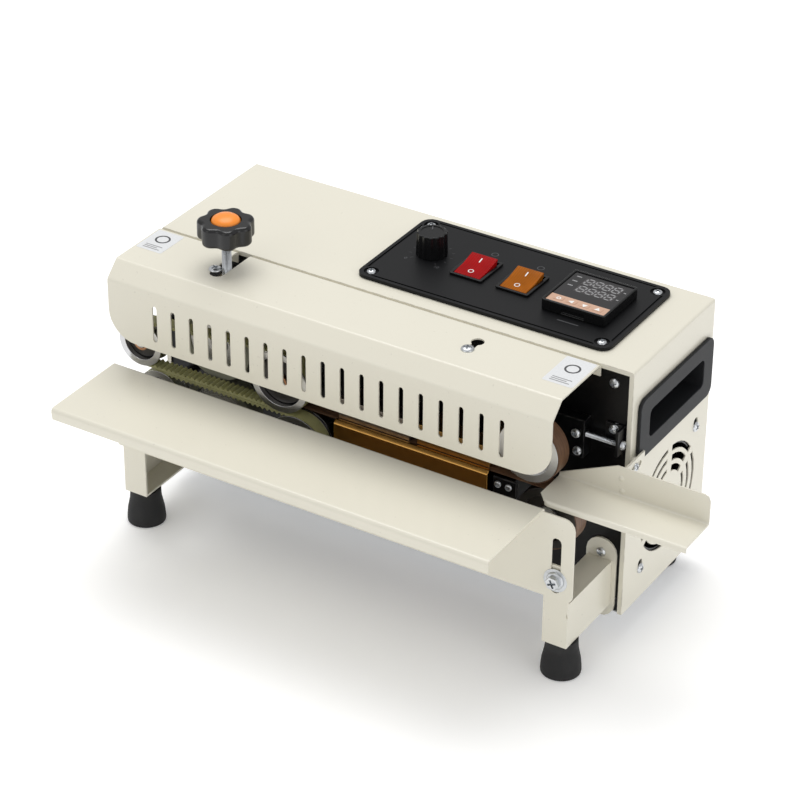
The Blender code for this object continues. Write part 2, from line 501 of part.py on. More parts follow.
def make_supports(mats):
    make_leg(mats, "right", RIGHT_LEG_X, 1, RIGHT_LEG_X + 0.0012)
    make_leg(mats, "left", LEFT_LEG_X, -1, CAB_LEFT + LIP + GAP + LEG_PLATE_R)
    foot_y = LEG_FRONT + 0.0115
    make_foot(mats, "front_foot_right", RIGHT_LEG_X, foot_y, LEG_Z)
    make_foot(mats, "front_foot_left", LEFT_LEG_X, foot_y, LEG_Z)
    rear_y = CAB_BACK - 0.0135
    make_foot(mats, "rear_foot_right", CAB_RIGHT - REAR_FOOT_INSET, rear_y, CAB_BOTTOM)
    make_foot(mats, "rear_foot_left", CAB_LEFT + REAR_FOOT_INSET, rear_y, CAB_BOTTOM)

    # front tray: shelf, small front lip and tall slotted upright
    t = SHEET
    front = TRAY_Y - TRAY_DEPTH
    x0, x1 = CAB_LEFT + TRAY_LEFT_INSET, CAB_RIGHT - TRAY_RIGHT_INSET
    path = [(front + t / 2 + 0.001, TRAY_Z - TRAY_LIP), (front + t / 2, TRAY_Z - t / 2),
            (TRAY_Y + t / 2, TRAY_Z - t / 2), (TRAY_Y + t / 2, TRAY_PLATE_BOTTOM)]
    tray = prism("front_tray", mats["cream"], "x", folded(path, t, 0.0025, 3), x0, x1)
    tail = bmesh.new()
    x2 = CAB_RIGHT - TRAY_PLATE_RIGHT
    add_prism(tail, "y", rounded(x1 - 0.01, TRAY_PLATE_BOTTOM, x2, TRAY_Z - 0.0030, (0, 0.005, 0.008, 0), 4),
              TRAY_Y, TRAY_Y + t)
    boolean(tray, tail, "join_tray_tail", "UNION")
    cut = bmesh.new()
    for cx in (LEFT_LEG_X, RIGHT_LEG_X):
        add_prism(cut, "y", obround(cx, BOLT_SLOT_LOW, BOLT_SLOT_TOP, BOLT_SLOT_W, 5), TRAY_Y - 0.005, TRAY_Y + 0.005)
    boolean(tray, cut, "cut_tray_slots")
    for side, cx in (("left", LEFT_LEG_X), ("right", RIGHT_LEG_X)):
        y = TRAY_Y - GAP
        bm = bmesh.new()
        add_turned(bm, "y", [(0, y - 0.0015), (0.0088, y - 0.0015), (0.0088, y), (0.0030, y),
                             (0.0030, LEG_FRONT + 0.010), (0, LEG_FRONT + 0.010)], cx, BOLT_Z, 20, closed=False)
        bolt = mesh_object("tray_bolt_" + side, mats["steel"], bm, (cx, y, BOLT_Z))
        head = bmesh.new()
        add_prism(head, "y", circle(cx, BOLT_Z, 0.0054, 6), y - 0.0065, y - 0.001)
        boolean(bolt, head, "join_bolt_head_" + side, "UNION")

    # infeed tray: floor with a small front lip and an upright back wall cut down to the left
    wall_y = CAB_FRONT - INFEED_BACK
    fx0, fx1 = CAB_RIGHT - INFEED_LEFT, CAB_RIGHT + INFEED_RIGHT
    fy = wall_y - INFEED_D
    path = [(fy + t / 2, INFEED_Z - 0.004), (fy + t / 2, INFEED_Z - t / 2),
            (wall_y + t / 2, INFEED_Z - t / 2), (wall_y + t / 2, INFEED_Z + INFEED_WALL)]
    infeed = prism("infeed_tray", mats["cream"], "x", folded(path, t, 0.0022, 3), fx0, fx1)
    cut = bmesh.new()
    rise = INFEED_Z + INFEED_WALL
    knee = CAB_RIGHT + 0.0034
    add_prism(cut, "y", [(fx0 - 0.005, INFEED_Z + 0.0025), (fx0 + 0.0005, INFEED_Z + 0.0025), (knee, rise + 0.0002),
                         (knee, rise + 0.01), (fx0 - 0.005, rise + 0.01)], wall_y - 0.004, wall_y + 0.005)
    c = 0.0045
    add_prism(cut, "y", [(fx1 + 0.005, rise - c), (fx1 + 0.005, rise + 0.005), (fx1 - c, rise + 0.005),
                         (fx1 - c, rise), (fx1 - 0.3 * c, rise - 0.3 * c), (fx1, rise - c)],
              wall_y - 0.004, wall_y + 0.005)
    low = INFEED_Z - 0.01
    add_prism(cut, "z", [(fx0 - 0.005, fy - 0.005), (fx0 + 0.012, fy - 0.005), (fx0 + 0.0095, fy),
                         (fx0 + 0.0055, fy + 0.0015), (fx0, fy + 0.0075), (fx0 - 0.005, fy + 0.0075)],
              low, INFEED_Z + 0.002)
    boolean(infeed, cut, "cut_infeed")

    # angle bracket from the infeed tray back to the cabinet side, held off it by a spacer
    bx0 = CAB_RIGHT + HANDLE_T + GAP
    bt = 0.0015
    by0, by1 = wall_y + t + GAP, CAB_FRONT + 0.0125
    bz0, bz1 = INFEED_Z - 0.009, INFEED_Z + 0.0150
    bracket = prism("infeed_bracket", mats["cream"], "z",
                    folded([(bx0 + bt / 2, by1), (bx0 + bt / 2, by0 + bt / 2), (bx0 + 0.012, by0 + bt / 2)],
                           bt, 0.002, 2), bz0, bz1)
    cut = bmesh.new()
    mid = CAB_FRONT + 0.0005
    add_prism(cut, "x", [(y, z) for z, y in obround(INFEED_Z + 0.0085, CAB_FRONT - 0.006, CAB_FRONT + 0.008, 0.0042, 4)],
              bx0 - 0.005, bx0 + 0.005)
    boolean(bracket, cut, "cut_bracket_slot")
    boss = bmesh.new()
    add_prism(boss, "x", circle(mid, INFEED_Z - 0.003, 0.0042, 12), CAB_RIGHT + GAP, bx0 + bt / 2)
    boolean(bracket, boss, "join_bracket_spacer", "UNION")


# ---------------------------------------------------------------- sealing head
def loop_path(c0, r0, c1, r1, steps):
    """Closed run round two circles: list of (point, outward normal, distance along)."""
    (x0, z0), (x1, z1) = c0, c1
    d = math.hypot(x1 - x0, z1 - z0)
    base = math.atan2(z1 - z0, x1 - x0)
    lean = math.acos((r0 - r1) / d)
    pts = []
    for (cx, cz), r, start, end in ((c1, r1, base - lean, base + lean),
                                    (c0, r0, base + lean, base - lean + 2 * math.pi)):
        for i in range(steps + 1):
            a = start + (end - start) * i / steps
            pts.append(((cx + r * math.cos(a), cz + r * math.sin(a)), (math.cos(a), math.sin(a))))
    dist, out = 0.0, []
    for i, (p, n) in enumerate(pts):
        if i:
            q = pts[i - 1][0]
            dist += math.hypot(p[0] - q[0], p[1] - q[1])
        out.append((p, n, dist))
    return out, dist + math.hypot(pts[0][0][0] - pts[-1][0][0], pts[0][0][1] - pts[-1][0][1])


def along(path, total, s):
    """Point and normal of a closed path at distance s."""
    s %= total
    ext = path + [(path[0][0], path[0][1], total)]
    for (p, n, d0), (q, m, d1) in zip(ext, ext[1:]):
        if d0 <= s <= d1 and d1 > d0:
            k = (s - d0) / (d1 - d0)
            nx, nz = n[0] + (m[0] - n[0]) * k, n[1] + (m[1] - n[1]) * k
            ln = math.hypot(nx, nz)
            return (p[0] + (q[0] - p[0]) * k, p[1] + (q[1] - p[1]) * k), (nx / ln, nz / ln)
    return path[0][0], path[0][1]


def make_band(mats, name, c0, c1):
    """Flat sealing band stretched round two wheels."""
    inner, _ = loop_path(c0, WHEEL_R + GAP, c1, WHEEL_R + GAP, 16)
    outer, _ = loop_path(c0, WHEEL_R + GAP + BAND_T, c1, WHEEL_R + GAP + BAND_T, 16)
    prism(name, mats["band"], "y", [p for p, n, d in outer], WHEEL_Y, WHEEL_Y + BAND_W,
          holes=[[p for p, n, d in inner]])


def make_guide_belt(mats, name, c0, r0, c1, r1):
    """Toothed belt, teeth inside, flat outside."""
    outer, _ = loop_path(c0, r0, c1, r1, 14)
    root, length = loop_path(c0, r0 - BELT_BASE, c1, r1 - BELT_BASE, 40)
    count = int(length / BELT_PITCH)
    pts = []
    for i in range(count):
        for part, depth in ((0.0, 0.0), (0.5, BELT_TOOTH)):
            (x, z), (nx, nz) = along(root, length, (i + part) * length / count)
            pts.append((x - nx * depth, z - nz * depth))
    prism(name, mats["belt"], "y", [p for p, n, d in outer], BELT_Y, BELT_Y + BELT_W, holes=[pts])


def wheel_profile(r, width, y, hub_r, web, bore):
    """Band wheel: flat rim, thin web, hub with a bore."""
    rim = 0.0025
    y1 = y + width
    m0, m1 = y + (width - web) / 2, y + (width + web) / 2
    return [(bore, y + 0.002), (hub_r, y + 0.002), (hub_r, m0), (r - rim, m0), (r - rim, y), (r, y), (r, y1),
            (r - rim, y1), (r - rim, m1), (hub_r, m1), (hub_r, y1), (bore, y1)]


def pulley_profile(belt_r, y, bore):
    """Flanged belt pulley with a recessed front face."""
    core = belt_r - PULLEY_R_CUT
    rim = belt_r - 0.0002
    f0, f1 = y - GAP - FLANGE_T, y - GAP
    g0, g1 = y + BELT_W + GAP, y + BELT_W + GAP + FLANGE_T
    hub = 0.007
    return [(bore, f0 + 0.0005), (hub, f0 + 0.0005), (hub, f1 + 0.0025), (core - 0.0035, f1 + 0.0025),
            (core - 0.0035, f0), (rim, f0), (rim, f1), (core, f1), (core, g0), (rim, g0), (rim, g1), (bore, g1)]


def axle_wheel(name, mat, profile, centre, tail, steps=24):
    """Wheel with its own axle running back through the front wall."""
    pts = [(0, profile[0][1])] + profile[1:-1] + [(SHAFT_R, profile[-1][1]), (SHAFT_R, tail), (0, tail)]
    turned(name, mat, "y", pts, centre, steps, closed=False)


def gear_outline(cx, cz, phase):
    """Thin-toothed spur gear outline."""
    out = []
    pitch = 2 * math.pi / GEAR_TEETH
    add = 0.0011
    for i in range(GEAR_TEETH):
        for frac, r in ((-0.26, GEAR_R - add * 1.3), (-0.09, GEAR_R + add), (0.09, GEAR_R + add),
                        (0.26, GEAR_R - add * 1.3)):
            a = phase + (i + frac) * pitch
            out.append((cx + r * math.cos(a), cz + r * math.sin(a)))
    return out


def make_drive(mats, name, cx, cz, phase, tail):
    """Band wheel, guide pulley and the gear whose shaft carries both."""
    bore = SHAFT_R + GAP
    turned(name + "_wheel", mats["aluminium"], "y", wheel_profile(WHEEL_R, BAND_W, WHEEL_Y, 0.008, 0.006, bore),
           (cx, cz), 24)
    turned(name + "_pulley", mats["chrome"], "y", pulley_profile(BIG_BELT_R, BELT_Y, bore), (cx, cz), 24)
    bm = bmesh.new()
    front = BELT_Y - 0.0012
    add_prism(bm, "y", circle(cx, cz, SHAFT_R, 16), front, tail)
    gear = mesh_object(name + "_gear", mats["steel"], bm, (cx, GEAR_Y, cz))
    teeth = bmesh.new()
    add_prism(teeth, "y", gear_outline(cx, cz, phase), GEAR_Y, GEAR_Y + GEAR_W)
    boolean(gear, teeth, "join_" + name + "_teeth", "UNION")


def make_block(mats, name, mat, x0, low):
    """Heater or cooling block with two arms back to the front wall."""
    y0 = WHEEL_Y
    y1, y2 = y0 + BLOCK_W, WALL_Y - GAP
    x1, arm, inset = x0 + BLOCK_L, 0.009, 0.006
    outline = [(x0, y0), (x1, y0), (x1, y1), (x1 - inset, y1), (x1 - inset, y2), (x1 - inset - arm, y2),
               (x1 - inset - arm, y1), (x0 + inset + arm, y1), (x0 + inset + arm, y2), (x0 + inset, y2),
               (x0 + inset, y1), (x0, y1)]
    prism(name, mats[mat], "z", outline, low, low + BLOCK_H)


def make_head(mats):
    up_d, lo_d = (UPPER_DRIVE_X, UPPER_Z), (LOWER_DRIVE_X, LOWER_Z)
    up_i, lo_i = (UPPER_IDLER_X, UPPER_Z), (LOWER_IDLER_X, LOWER_Z)
    up_l, lo_l = (UPPER_LEFT_X, UPPER_LEFT_Z), (LOWER_LEFT_X, LOWER_LEFT_Z)
    make_band(mats, "upper_band", up_d, up_i)
    make_band(mats, "lower_band", lo_d, lo_i)
    make_guide_belt(mats, "upper_guide_belt", up_l, SMALL_BELT_R, up_d, BIG_BELT_R)
    make_guide_belt(mats, "lower_guide_belt", lo_l, SMALL_BELT_R, lo_d, BIG_BELT_R)

    mesh_line = math.atan2(UPPER_Z - LOWER_Z, UPPER_DRIVE_X - LOWER_DRIVE_X)
    pitch = 2 * math.pi / GEAR_TEETH
    make_drive(mats, "lower_drive", *lo_d, mesh_line, GEAR_Y + GEAR_W + 0.002)
    make_drive(mats, "upper_drive", *up_d, mesh_line + math.pi + pitch / 2, GEAR_Y + GEAR_W + 0.002)

    through = WALL_BACK + 0.004
    axle_wheel("lower_idler_wheel", mats["aluminium"],
               wheel_profile(WHEEL_R, BAND_W, WHEEL_Y, 0.008, 0.006, 0), lo_i, through)
    block_y = WALL_Y - GAP - 0.009
    axle_wheel("upper_idler_wheel", mats["aluminium"],
               wheel_profile(WHEEL_R, BAND_W, WHEEL_Y, 0.008, 0.006, 0), up_i, block_y + 0.007)
    axle_wheel("upper_left_pulley", mats["chrome"], pulley_profile(SMALL_BELT_R, BELT_Y, 0), up_l, through)
    axle_wheel("lower_left_pulley", mats["chrome"], pulley_profile(SMALL_BELT_R, BELT_Y, 0), lo_l, through)

    y = CAB_FRONT - PRESS_FRONT
    y1 = y + PRESS_W
    roller = [(0, y), (0.006, y), (0.006, y + 0.002), (PRESS_R - 0.008, y + 0.002), (PRESS_R - 0.008, y),
              (PRESS_R, y), (PRESS_R, y1)]
    turned("lower_press_roller", mats["roller"], "y", roller + [(SHAFT_R, y1), (SHAFT_R, through), (0, through)],
           (PRESS_X, PRESS_LOW_Z), 24, closed=False)
    car_y = WALL_Y - GAP - 0.010
    turned("upper_press_roller", mats["roller"], "y",
           roller + [(SHAFT_R, y1), (SHAFT_R, car_y + 0.008), (0, car_y + 0.008)],
           (PRESS_X, PRESS_UP_Z), 24, closed=False)

    # carriage that the pressure knob pushes: block on the wall, with a shelf under the stud
    half, shelf = 0.013, 0.0065
    bm = bmesh.new()
    top = CAB_TOP - 0.014
    path = [(car_y, PRESS_UP_Z - 0.014), (WALL_Y - GAP, PRESS_UP_Z - 0.014), (WALL_Y - GAP, top),
            (KNOB_Y - 0.010, top), (KNOB_Y - 0.010, top - shelf), (car_y, top - shelf)]
    add_prism(bm, "x", path, PRESS_X - half, PRESS_X + half)
    carriage = mesh_object("press_carriage", mats["steel"], bm)
    cut = bmesh.new()
    add_prism(cut, "y", circle(PRESS_X, PRESS_UP_Z, SHAFT_R + RUN_GAP, 16), car_y - 0.005, car_y + 0.0088)
    boolean(carriage, cut, "cut_carriage_bore")

    # heating and cooling blocks inside each band
    run = NIP_GAP / 2 + BAND_T + GAP
    x_cool, x_heat = BLOCK_LEFT, BLOCK_LEFT + BLOCK_L + BLOCK_SPACE
    make_block(mats, "upper_cooling_block", "aluminium", x_cool, NIP_Z + run)
    make_block(mats, "upper_heater_block", "bronze", x_heat, NIP_Z + run)
    make_block(mats, "lower_cooling_block", "aluminium", x_cool, NIP_Z - run - BLOCK_H)
    make_block(mats, "lower_heater_block", "bronze", x_heat, NIP_Z - run - BLOCK_H)

    # bronze guard in front of the lower blocks
    t = 0.001
    gy, gz = CAB_FRONT - GUARD_FRONT, NIP_Z + 0.0006
    path = [(WHEEL_Y - 0.0006, gz), (gy + 0.0022, gz), (gy, gz - 0.0022), (gy, gz - GUARD_DROP),
            (WALL_Y - GAP - t / 2, gz - GUARD_DROP), (WALL_Y - GAP - t / 2, gz - GUARD_DROP + 0.010)]
    prism("heater_guard", mats["bronze"], "x", folded(path, t, 0.0012, 2),
          BLOCK_LEFT - 0.001, BLOCK_RIGHT + 0.001)

    # band tension: sliding block, angle bracket and long screw
    bx0, bx1 = UPPER_IDLER_X - 0.013, UPPER_IDLER_X + 0.025
    bm = bmesh.new()
    add_box(bm, bx0, bx1, block_y, WALL_Y - GAP, UPPER_Z - 0.013, UPPER_Z + 0.016)
    slider = mesh_object("tension_block", mats["black"], bm)
    cut = bmesh.new()
    add_prism(cut, "y", circle(UPPER_IDLER_X, UPPER_Z, SHAFT_R + RUN_GAP, 16), block_y - 0.005, block_y + 0.0078)
    boolean(slider, cut, "cut_block_bore")
    cut = bmesh.new()
    rod_y = block_y + 0.0042
    add_prism(cut, "x", circle(rod_y, TENSION_Z, 0.0023, 12), UPPER_IDLER_X + 0.012, bx1 + 0.005)
    boolean(slider, cut, "cut_block_thread")
    hx = CAB_RIGHT - 0.0045
    turned("tension_rod", mats["steel"], "x",
           [(0, UPPER_IDLER_X + 0.016), (0.0019, UPPER_IDLER_X + 0.016), (0.0019, hx), (0.0033, hx),
            (0.0033, hx + 0.003), (0, hx + 0.003)], (rod_y, TENSION_Z), 16, closed=False)
    ex = hx - GAP
    bracket = prism("tension_bracket", mats["black"], "z",
                    [(ex - 0.002, block_y - 0.001), (ex, block_y - 0.001), (ex, WALL_Y - GAP),
                     (ex - 0.014, WALL_Y - GAP), (ex - 0.014, WALL_Y - GAP - 0.0015),
                     (ex - 0.002, WALL_Y - GAP - 0.0015)], TENSION_Z - 0.007, TENSION_Z + 0.012)
    cut = bmesh.new()
    add_prism(cut, "x", circle(rod_y, TENSION_Z, 0.0024, 12), ex - 0.01, ex + 0.01)
    boolean(bracket, cut, "cut_tension_bracket")

    # gearmotor in line with the lower drive shaft
    y0 = GEAR_Y + GEAR_W + 0.004
    bm = bmesh.new()
    m = MOTOR_R
    add_turned(bm, "y", [(0, y0), (0.55 * m, y0), (0.55 * m, y0 + 0.004), (m, y0 + 0.004), (m, y0 + 0.026),
                         (0.85 * m, y0 + 0.028), (0.85 * m, y0 + MOTOR_L - 0.002),
                         (0.6 * m, y0 + MOTOR_L), (0, y0 + MOTOR_L)], *lo_d, 24, closed=False)
    mesh_object("drive_motor", mats["motor"], bm, (LOWER_DRIVE_X, y0, LOWER_Z))


# ---------------------------------------------------------------- fan
def make_fan(mats):
    x1 = CAB_RIGHT - SHEET - GAP
    x0 = x1 - FAN_T
    h, hub = FAN_SIZE / 2, 0.016
    mount = h - 0.004
    prism("fan_frame", mats["panel"], "x", rounded(FAN_Y - h, FAN_Z - h, FAN_Y + h, FAN_Z + h, 0.004, 2), x0, x1,
          holes=[circle(FAN_Y, FAN_Z, h - 0.002, 32)]
          + [circle(FAN_Y + sy * mount, FAN_Z + sz * mount, 0.0016, 6) for sy in (-1, 1) for sz in (-1, 1)])
    bm = bmesh.new()
    add_prism(bm, "x", circle(FAN_Y, FAN_Z, hub, 20), x0 + 0.004, x1 - 0.002)
    rotor = mesh_object("fan_rotor", mats["panel"], bm, (x0 + FAN_T / 2, FAN_Y, FAN_Z))
    blades = bmesh.new()
    for i in range(7):
        a = 2 * math.pi * i / 7
        r0, r1, lead, t = hub - 0.003, h - 0.0035, 0.30, 0.0012
        ring = []
        for x, twist in ((x0 + 0.006, -lead), (x1 - 0.004, lead)):
            for r in (r0, r1):
                b = a + twist
                ring.append((x, FAN_Y + r * math.cos(b), FAN_Z + r * math.sin(b)))
        p = [ring[0], ring[1], ring[3], ring[2]]
        front = [blades.verts.new(q) for q in p]
        side = (-math.sin(a) * t, math.cos(a) * t)
        back = [blades.verts.new((q[0], q[1] + side[0], q[2] + side[1])) for q in p]
        blades.faces.new((front[0], front[1], front[2]))
        blades.faces.new((front[0], front[2], front[3]))
        blades.faces.new((back[0], back[2], back[1]))
        blades.faces.new((back[0], back[3], back[2]))
        for j in range(4):
            k = (j + 1) % 4
            blades.faces.new((front[j], back[j], back[k]))
            blades.faces.new((front[j], back[k], front[k]))
    boolean(rotor, blades, "join_fan_blades", "UNION")


# ---------------------------------------------------------------- controls
def make_controls(mats):
    x0, x1 = PANEL_X - PANEL_W / 2, PANEL_X + PANEL_W / 2
    y0, y1 = PANEL_Y - PANEL_D / 2, PANEL_Y + PANEL_D / 2
    cs = CTRL_SIZE / 2 - 0.0015
    sw, sd = SWITCH_W / 2 - 0.0012, SWITCH_D / 2 - 0.0012
    i = PANEL_HOLE_INSET
    holes = [rounded(CTRL_X - cs, PANEL_Y - cs, CTRL_X + cs, PANEL_Y + cs, 0),
             circle(DIAL_X, PANEL_Y + 0.003, 0.0042, 14)]
    holes += [rounded(x - sw, PANEL_Y - sd, x + sw, PANEL_Y + sd, 0) for x in (RED_X, AMBER_X)]
    holes += [circle(x, y, 0.0018, 8) for x in (x0 + i, x1 - i) for y in (y0 + i, y1 - i)]
    prism("control_panel", mats["panel"], "z", rounded(x0, y0, x1, y1, 0.008, 4), PANEL_Z, PANEL_TOP, holes=holes)

    dial_y = PANEL_Y + 0.003
    z = PANEL_TOP + GAP
    ribs = 24
    bm = bmesh.new()
    grip = []
    for k in range(2 * ribs):
        r = DIAL_R - (0.0006 if k % 2 else 0.0)
        a = math.pi * k / ribs
        grip.append((DIAL_X + r * math.cos(a), dial_y + r * math.sin(a)))
    add_prism(bm, "z", grip, z + 0.002, z + DIAL_H)
    dial = mesh_object("speed_knob", mats["panel"], bm, (DIAL_X, dial_y, z))
    stem = bmesh.new()
    add_turned(stem, "z", [(0, z - 0.012), (0.0030, z - 0.012), (0.0030, z), (0.0112, z), (0.0112, z + 0.0014),
                           (0.0092, z + 0.0030), (0, z + 0.0030)], DIAL_X, dial_y, 24, closed=False)
    boolean(dial, stem, "join_dial_skirt", "UNION")

    for name, mat, cx in (("red", "red", RED_X), ("amber", "amber", AMBER_X)):
        make_switch(mats, name, mat, cx)

    # temperature controller: bezel on the panel, body below it, recessed display and key row
    bm = bmesh.new()
    c, zc = CTRL_SIZE / 2, PANEL_TOP + GAP
    add_prism(bm, "z", rounded(CTRL_X - c, PANEL_Y - c, CTRL_X + c, PANEL_Y + c, 0.0015, 2), zc, PANEL_TOP + CTRL_RISE)
    ctrl = mesh_object("temperature_controller", mats["panel"], bm)
    body = bmesh.new()
    b = cs - GAP * 2
    add_box(body, CTRL_X - b, CTRL_X + b, PANEL_Y - b, PANEL_Y + b, zc - CTRL_DEPTH, zc + 0.002)
    boolean(ctrl, body, "join_controller_body", "UNION")
    cut = bmesh.new()
    top = PANEL_TOP + CTRL_RISE
    add_box(cut, CTRL_X - c + 0.003, CTRL_X + c - 0.003, PANEL_Y - 0.0105, PANEL_Y + c - 0.003, top - 0.0008, top + 0.01)
    for k in range(4):
        x = CTRL_X + (k - 1.5) * 0.0098
        add_prism(cut, "z", rounded(x - KEY_W / 2 - GAP, PANEL_Y - 0.0163 - KEY_D / 2 - GAP, x + KEY_W / 2 + GAP,
                                    PANEL_Y - 0.0163 + KEY_D / 2 + GAP, 0.0008, 2), top - 0.003, top + 0.01)
    boolean(ctrl, cut, "cut_controller_face")
    for k, label in enumerate(("set", "shift", "down", "up")):
        x = CTRL_X + (k - 1.5) * 0.0098
        y = PANEL_Y - 0.0163
        prism("key_" + label, mats["key"], "z",
              rounded(x - KEY_W / 2, y - KEY_D / 2, x + KEY_W / 2, y + KEY_D / 2, 0.0007, 2),
              top - 0.0016, top + KEY_RISE, origin=(x, y, top))

    make_pressure_knob(mats)


def make_switch(mats, name, mat, cx):
    """Rocker switch: bezel and body, with the rocker pivoting inside."""
    z = PANEL_TOP + GAP
    w, d = SWITCH_W / 2, SWITCH_D / 2
    frame = prism(name + "_switch_frame", mats["panel"], "z",
                  rounded(cx - w, PANEL_Y - d, cx + w, PANEL_Y + d, 0.001, 2), z, z + SWITCH_RIM)
    body = bmesh.new()
    bw, bd = w - 0.0016, d - 0.0016
    add_box(body, cx - bw, cx + bw, PANEL_Y - bd, PANEL_Y + bd, z - 0.020, z + 0.0008)
    boolean(frame, body, "join_" + name + "_body", "UNION")
    well = bmesh.new()
    rw, rd = ROCKER_W / 2, ROCKER_D / 2
    add_box(well, cx - rw - GAP, cx + rw + GAP, PANEL_Y - rd - 0.0006, PANEL_Y + rd + 0.0006, z - 0.0135, z + 0.01)
    boolean(frame, well, "cut_" + name + "_well")
    # rocker seen from the side: shallow vee top, turned down at the front (off side raised at the rear)
    tilt = math.radians(9)
    pz = z - 0.003
    shape = [(-rd, 0.0035), (-rd, 0.0050), (0, 0.0058), (rd, 0.0050), (rd, 0.0035), (0.004, -0.0055), (-0.004, -0.0055)]
    outline = []
    for a, b in shape:
        b += 0.0018 * (abs(a) / rd) ** 2
        outline.append((PANEL_Y + (a * math.cos(tilt) - b * math.sin(tilt)) * 0.965,
                        pz + a * math.sin(tilt) + b * math.cos(tilt)))
    prism(name + "_rocker", mats[mat], "x", outline, cx - rw, cx + rw, origin=(cx, PANEL_Y, pz))


def make_pressure_knob(mats):
    """Lobed knob on a threaded stud, with a domed cap."""
    z = CAB_TOP + KNOB_LOW
    lobes = 7
    outline = []
    for k in range(lobes * 6):
        a = 2 * math.pi * k / (lobes * 6)
        r = KNOB_R - 0.0022 * (1 - math.cos(lobes * a)) ** 1.4 / 2
        outline.append((PRESS_X + r * math.cos(a), KNOB_Y + r * math.sin(a)))
    seat, rise = 0.0105, 0.004
    bm = bmesh.new()
    add_prism(bm, "z", outline, z + 0.004, z + KNOB_H - 0.002)
    knob = mesh_object("pressure_knob", mats["panel"], bm, (PRESS_X, KNOB_Y, z))
    hub = bmesh.new()
    top = z + KNOB_H
    foot = CAB_TOP - 0.014 + GAP
    add_turned(hub, "z", [(0, foot), (0.0034, foot), (0.0034, z), (0.0085, z), (0.0125, z + 0.0045), (0.0165, z + 0.006),
                          (0.0165, top - 0.004), (seat + 0.002, top), (0, top)], PRESS_X, KNOB_Y, 28, closed=False)
    boolean(knob, hub, "join_knob_hub", "UNION")
    recess = bmesh.new()
    add_prism(recess, "z", circle(PRESS_X, KNOB_Y, seat, 28), top - rise, top + 0.01)
    boolean(knob, recess, "cut_knob_seat")
    cap = [(0, top - rise + GAP), (seat - GAP, top - rise + GAP), (seat - GAP, top + 0.0006),
           (seat * 0.7, top + 0.0024), (seat * 0.35, top + 0.0033), (0, top + 0.0035)]
    turned("knob_cap", mats["orange"], "z", cap, (PRESS_X, KNOB_Y), 28, closed=False)


def main():
    for obj in list(bpy.data.objects):
        bpy.data.objects.remove(obj, do_unlink=True)
    mats = materials()
    make_cabinet(mats)
    make_cover(mats)
    make_supports(mats)
    make_head(mats)
    make_fan(mats)
    make_controls(mats)


main()
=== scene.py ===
"""Finished look of the benchtop continuous band sealer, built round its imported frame.

Metres, +Z up, origin on the floor under the middle of the machine; the bag side faces -Y and bags run along X.
"""
import logging
import math
from collections.abc import Callable, Iterable, Sequence
from dataclasses import dataclass
from enum import Enum
from typing import Any

import bmesh
import bpy
from mathutils import Matrix, Vector
from mathutils.bvhtree import BVHTree


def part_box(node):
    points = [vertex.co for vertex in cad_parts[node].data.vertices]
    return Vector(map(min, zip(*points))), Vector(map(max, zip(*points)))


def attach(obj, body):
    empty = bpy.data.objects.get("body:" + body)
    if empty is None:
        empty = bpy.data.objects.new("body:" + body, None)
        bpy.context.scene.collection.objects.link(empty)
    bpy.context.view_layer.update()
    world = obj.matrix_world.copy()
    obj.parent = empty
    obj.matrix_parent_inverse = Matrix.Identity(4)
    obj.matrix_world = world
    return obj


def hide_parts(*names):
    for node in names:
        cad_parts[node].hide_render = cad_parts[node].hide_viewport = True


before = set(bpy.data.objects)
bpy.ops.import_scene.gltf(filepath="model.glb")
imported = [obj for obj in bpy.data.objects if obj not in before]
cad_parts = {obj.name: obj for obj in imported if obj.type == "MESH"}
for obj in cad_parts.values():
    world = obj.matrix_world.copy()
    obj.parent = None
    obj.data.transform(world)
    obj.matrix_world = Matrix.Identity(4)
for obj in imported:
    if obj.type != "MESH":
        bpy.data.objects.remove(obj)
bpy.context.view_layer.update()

LOG = logging.getLogger("band_sealer")
Colour = tuple[float, float, float]
Outline = list[tuple[float, float]]


# ---------------------------------------------------------------- shader building
class Val:
    """A number inside a finish, whose arithmetic adds Math nodes."""

    def __init__(self, nodes: "Nodes", socket: bpy.types.NodeSocket) -> None:
        """Wraps a socket of the node tree."""
        self.nodes, self.socket = nodes, socket

    def _math(self, operation: str, *terms: Any) -> "Val":
        """Adds one Math node on the given terms."""
        return Val(self.nodes, self.nodes.node("Math", {"operation": operation}, dict(enumerate(terms))).outputs[0])

    def __add__(self, other: Any) -> "Val":
        """Sum."""
        return self._math("ADD", self, other)

    def __sub__(self, other: Any) -> "Val":
        """Difference."""
        return self._math("SUBTRACT", self, other)

    def __rsub__(self, other: Any) -> "Val":
        """Difference from a plain number."""
        return self._math("SUBTRACT", other, self)

    def __mul__(self, other: Any) -> "Val":
        """Product."""
        return self._math("MULTIPLY", self, other)

    __radd__, __rmul__ = __add__, __mul__

    def sine(self) -> "Val":
        """Sine of the value."""
        return self._math("SINE", self)

    def between(self, low: float, high: float) -> "Val":
        """Smooth step from 0 at low to 1 at high."""
        node = self.nodes.node("MapRange", {"interpolation_type": "SMOOTHSTEP"},
                               {"Value": self, "From Min": low, "From Max": high})
        return Val(self.nodes, node.outputs[0])


